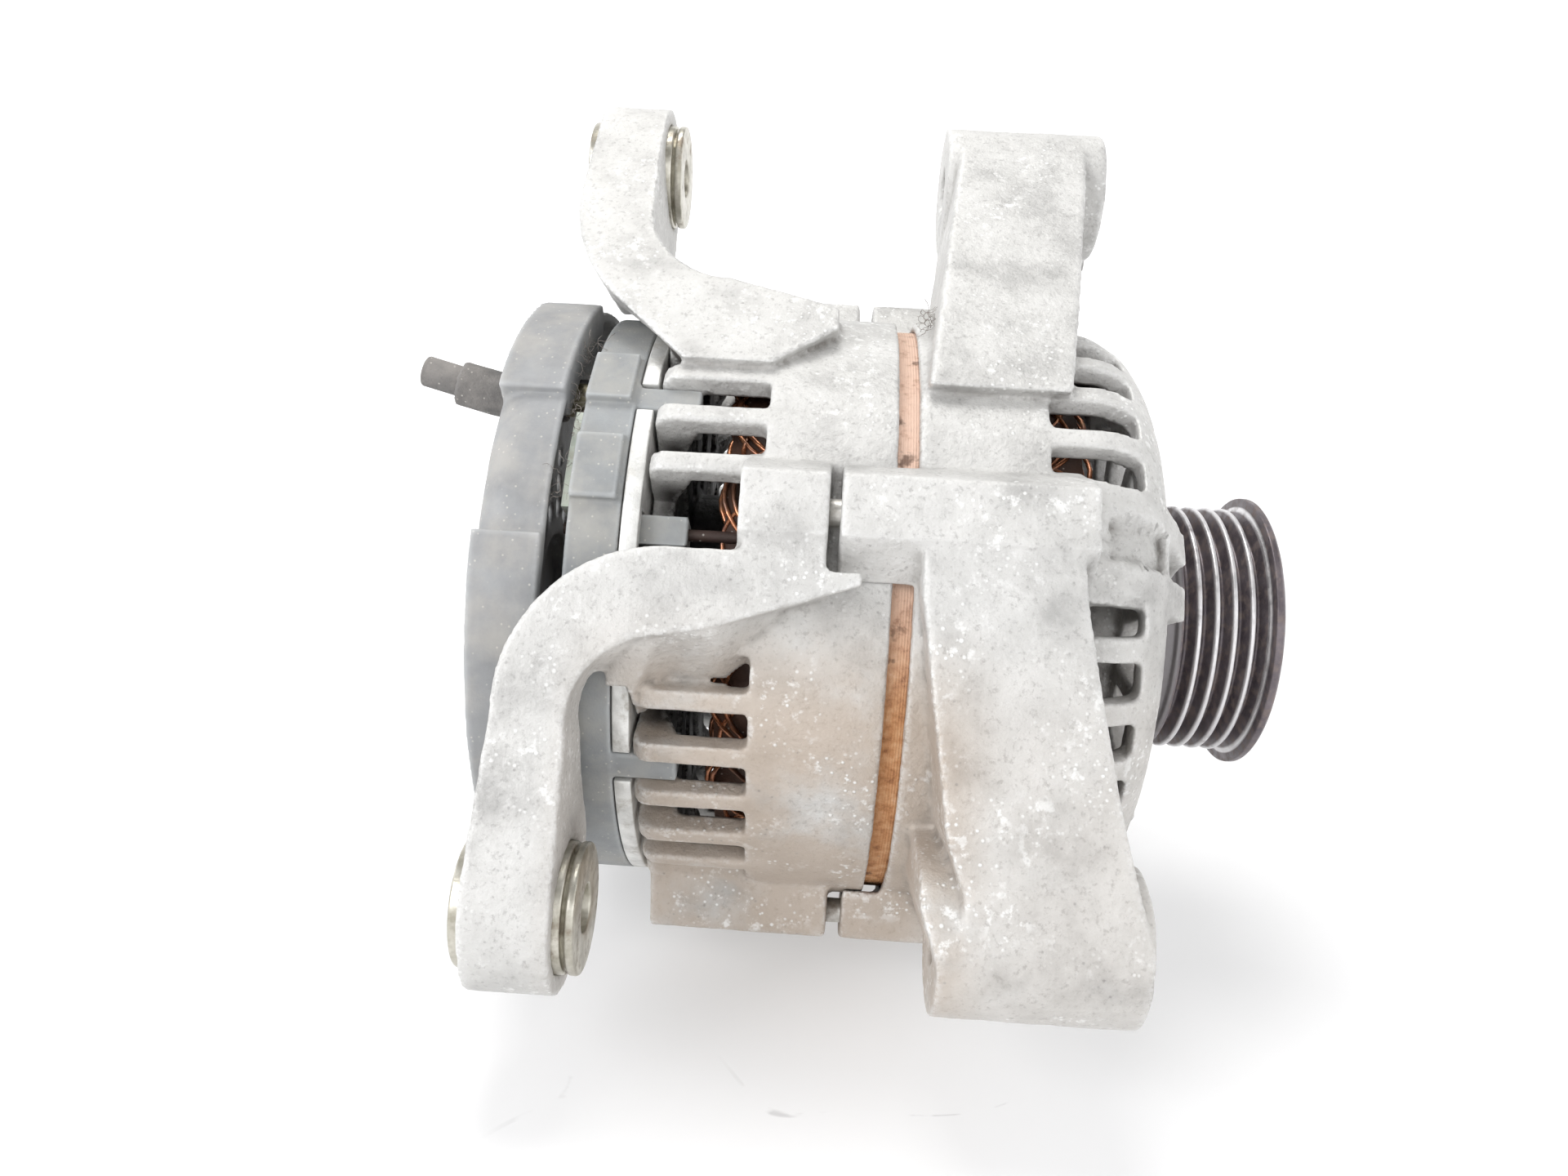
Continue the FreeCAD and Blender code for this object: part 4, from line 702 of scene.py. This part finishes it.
def make_pulley():
    """Five V grooves between six crests, a rounded flange in front and a smooth collar behind."""
    low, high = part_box("pulley")
    front, back, flange = high.x / MM, low.x / MM, high.z / MM
    pitch, crest, root, corner = 3.56, 26.6, 23.6, 0.32
    outline = [
        (back, 8.6),
        (0.9, 8.6),
        (0.9, 17.0),
        (front - 1.6, 19.4),
        (front - 0.9, 24.6),
        (front - 0.1, 26.4),
        (front, flange - 0.9),
        (front - 0.7, flange),
        (front - 2.0, flange),
        (front - 2.2, crest + 0.3),
    ]
    for groove in range(5):
        middle = pitch * (2 - groove)
        outline += [(middle + 1.38, crest), (middle + 0.36, root), (middle - 0.36, root), (middle - 1.38, crest)]
    outline += [(-9.6, crest), (-9.9, crest - 0.9), (back, crest - 0.9)]
    outline = [(x * MM, r * MM) for x, r in rounded(outline, corner)]
    finished(lathe("belt_pulley", outline), "pulley")


def tube(work, points, radius, sides=6):
    """A closed round tube along the points."""
    points = [Vector(point) for point in points]
    across = None
    rings = []
    for index, point in enumerate(points):
        ahead = points[min(index + 1, len(points) - 1)] - points[max(index - 1, 0)]
        ahead.normalize()
        across = ahead.orthogonal() if across is None else across - ahead * across.dot(ahead)
        across.normalize()
        side = ahead.cross(across)
        ring = []
        for step in range(sides):
            turn = math.tau * step / sides
            ring.append(work.verts.new(point + (across * math.cos(turn) + side * math.sin(turn)) * radius))
        rings.append(ring)
    for ring, after in zip(rings, rings[1:]):
        for index in range(sides):
            follow = (index + 1) % sides
            work.faces.new((ring[index], ring[follow], after[follow], after[index]))
    work.faces.new(rings[0][::-1])
    work.faces.new(rings[-1])


def polar(x, radius, degrees):
    """A place from its x, its distance from the shaft's axis and its angle from +Y towards +Z."""
    angle = math.radians(degrees)
    return Vector((x, radius * math.cos(angle), radius * math.sin(angle)))


def make_winding():
    """The stator winding: wires looping from slot to slot past both ends of the stack, over a dark core."""
    chance = random.Random(7)
    low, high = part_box("stator_winding")
    middle = (low.x + high.x) / 2
    stack = 14 * MM
    reach = (high.x - low.x) / 2 + 4.5 * MM
    slot_count, wires, steps, wire_radius = 36, 5, 14, 0.5 * MM
    slot_step = 360 / slot_count
    work = bmesh.new()
    for slot in range(slot_count):
        swell = 0.84 if slot % 2 else -0.36
        for wire in range(wires):
            start = slot * slot_step + chance.uniform(-0.5, 0.5)
            for side in (-1, 1):
                tall = chance.uniform(0.78, 0.97)
                path = []
                for step in range(steps + 1):
                    share = step / steps
                    rise = math.sin(math.pi * share) ** 0.55
                    radius = 50.479 + 0.93 * wire + swell * rise + chance.uniform(-0.15, 0.15)
                    x = middle + side * (stack + (reach - stack) * tall * rise)
                    turn = 3 * slot_step * (share - share * (1 - share) * 0.3)
                    path.append(polar(x, min(radius, 55.1) * MM, start + turn))
                tube(work, path, wire_radius)
            along_slot = [polar(middle + share * stack, (50.4 + wire) * MM, start) for share in (-1, 0, 1)]
            tube(work, along_slot, wire_radius)
    finished(piece_of(work, "winding_wires"), "stator_winding")
    for side in (-1, 1):
        near, far = middle + side * stack, middle + side * (reach - 2.0 * MM)
        inner, outer = 50.6 * MM, 54.0 * MM
        outline = [(near, inner), (far, inner), (far, outer), (near, outer)]
        name = "winding_core_front" if side > 0 else "winding_core_rear"
        finished(lathe(name, outline, 96), "stator_winding", VARNISH)


def make_lint():
    """Fibres and fluff caught behind the cover and in the corner of the front upper ear."""
    chance = random.Random(3)
    cover_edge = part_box("rear_cover")[1].x
    ear_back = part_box("drive_end_bracket")[0].x + 16 * MM
    tufts = [  # x, distance from the shaft's axis in mm, angle in degrees, number of fibres
        (cover_edge + 1.2 * MM, 59.0, 112, 26),
        (cover_edge + 1.4 * MM, 58.6, 128, 22),
        (cover_edge + 1.0 * MM, 59.4, 146, 12),
        (ear_back, 64.6, 96, 22),
    ]
    fibre_steps, step_length = 9, 0.55 * MM
    work = bmesh.new()
    for x, radius, angle, count in tufts:
        for _ in range(count):
            spot_x = x + chance.gauss(0, 0.7) * MM
            spot_radius = (radius + chance.gauss(0, 0.5)) * MM
            path = [polar(spot_x, spot_radius, angle + chance.gauss(0, 3.5))]
            heading = Vector([chance.gauss(0, 1) for _ in range(3)]).normalized()
            for _ in range(fibre_steps):
                heading = (heading + Vector([chance.gauss(0, 0.55) for _ in range(3)])).normalized()
                path.append(path[-1] + heading * step_length)
            tube(work, path, chance.uniform(0.035, 0.07) * MM, sides=4)
    piece = piece_of(work, "lint")
    piece.data.materials.append(LINT)
    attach(piece, "housing")


make_pulley()
make_winding()
make_lint()


# ---------------------------------------------------------------- floor

def make_floor():
    """A round floor whose rim curves up into a white wall on every side."""
    flat, wall, height, steps, spokes = 1.2, 1.9, 1.6, 12, 96
    bend = wall - flat
    rings = [(flat * share, FLOOR_Z) for share in (0.1, 0.3, 0.6, 1.0)]
    for step in range(1, steps + 1):
        turn = math.pi / 2 * step / steps
        rings.append((flat + bend * math.sin(turn), FLOOR_Z + bend * (1 - math.cos(turn))))
    rings.append((wall, height))
    work = bmesh.new()
    centre = work.verts.new((0, 0, FLOOR_Z))
    loops = []
    for radius, z in rings:
        turns = [math.tau * spoke / spokes for spoke in range(spokes)]
        points = [(radius * math.cos(turn), radius * math.sin(turn), z) for turn in turns]
        loops.append([work.verts.new(point) for point in points])
    for spoke in range(spokes):
        after = (spoke + 1) % spokes
        work.faces.new((centre, loops[0][spoke], loops[0][after]))
        for inner, outer in zip(loops, loops[1:]):
            work.faces.new((inner[spoke], outer[spoke], outer[after], inner[after]))
    floor = piece_of(work, "floor")
    floor.data.materials.append(floor_paper())


make_floor()

for name, node in nodes.items():
    node.data.materials.clear()
    node.data.materials.append(SLEEVING if name == "phase_leads" else LOOKS[slots[name]])
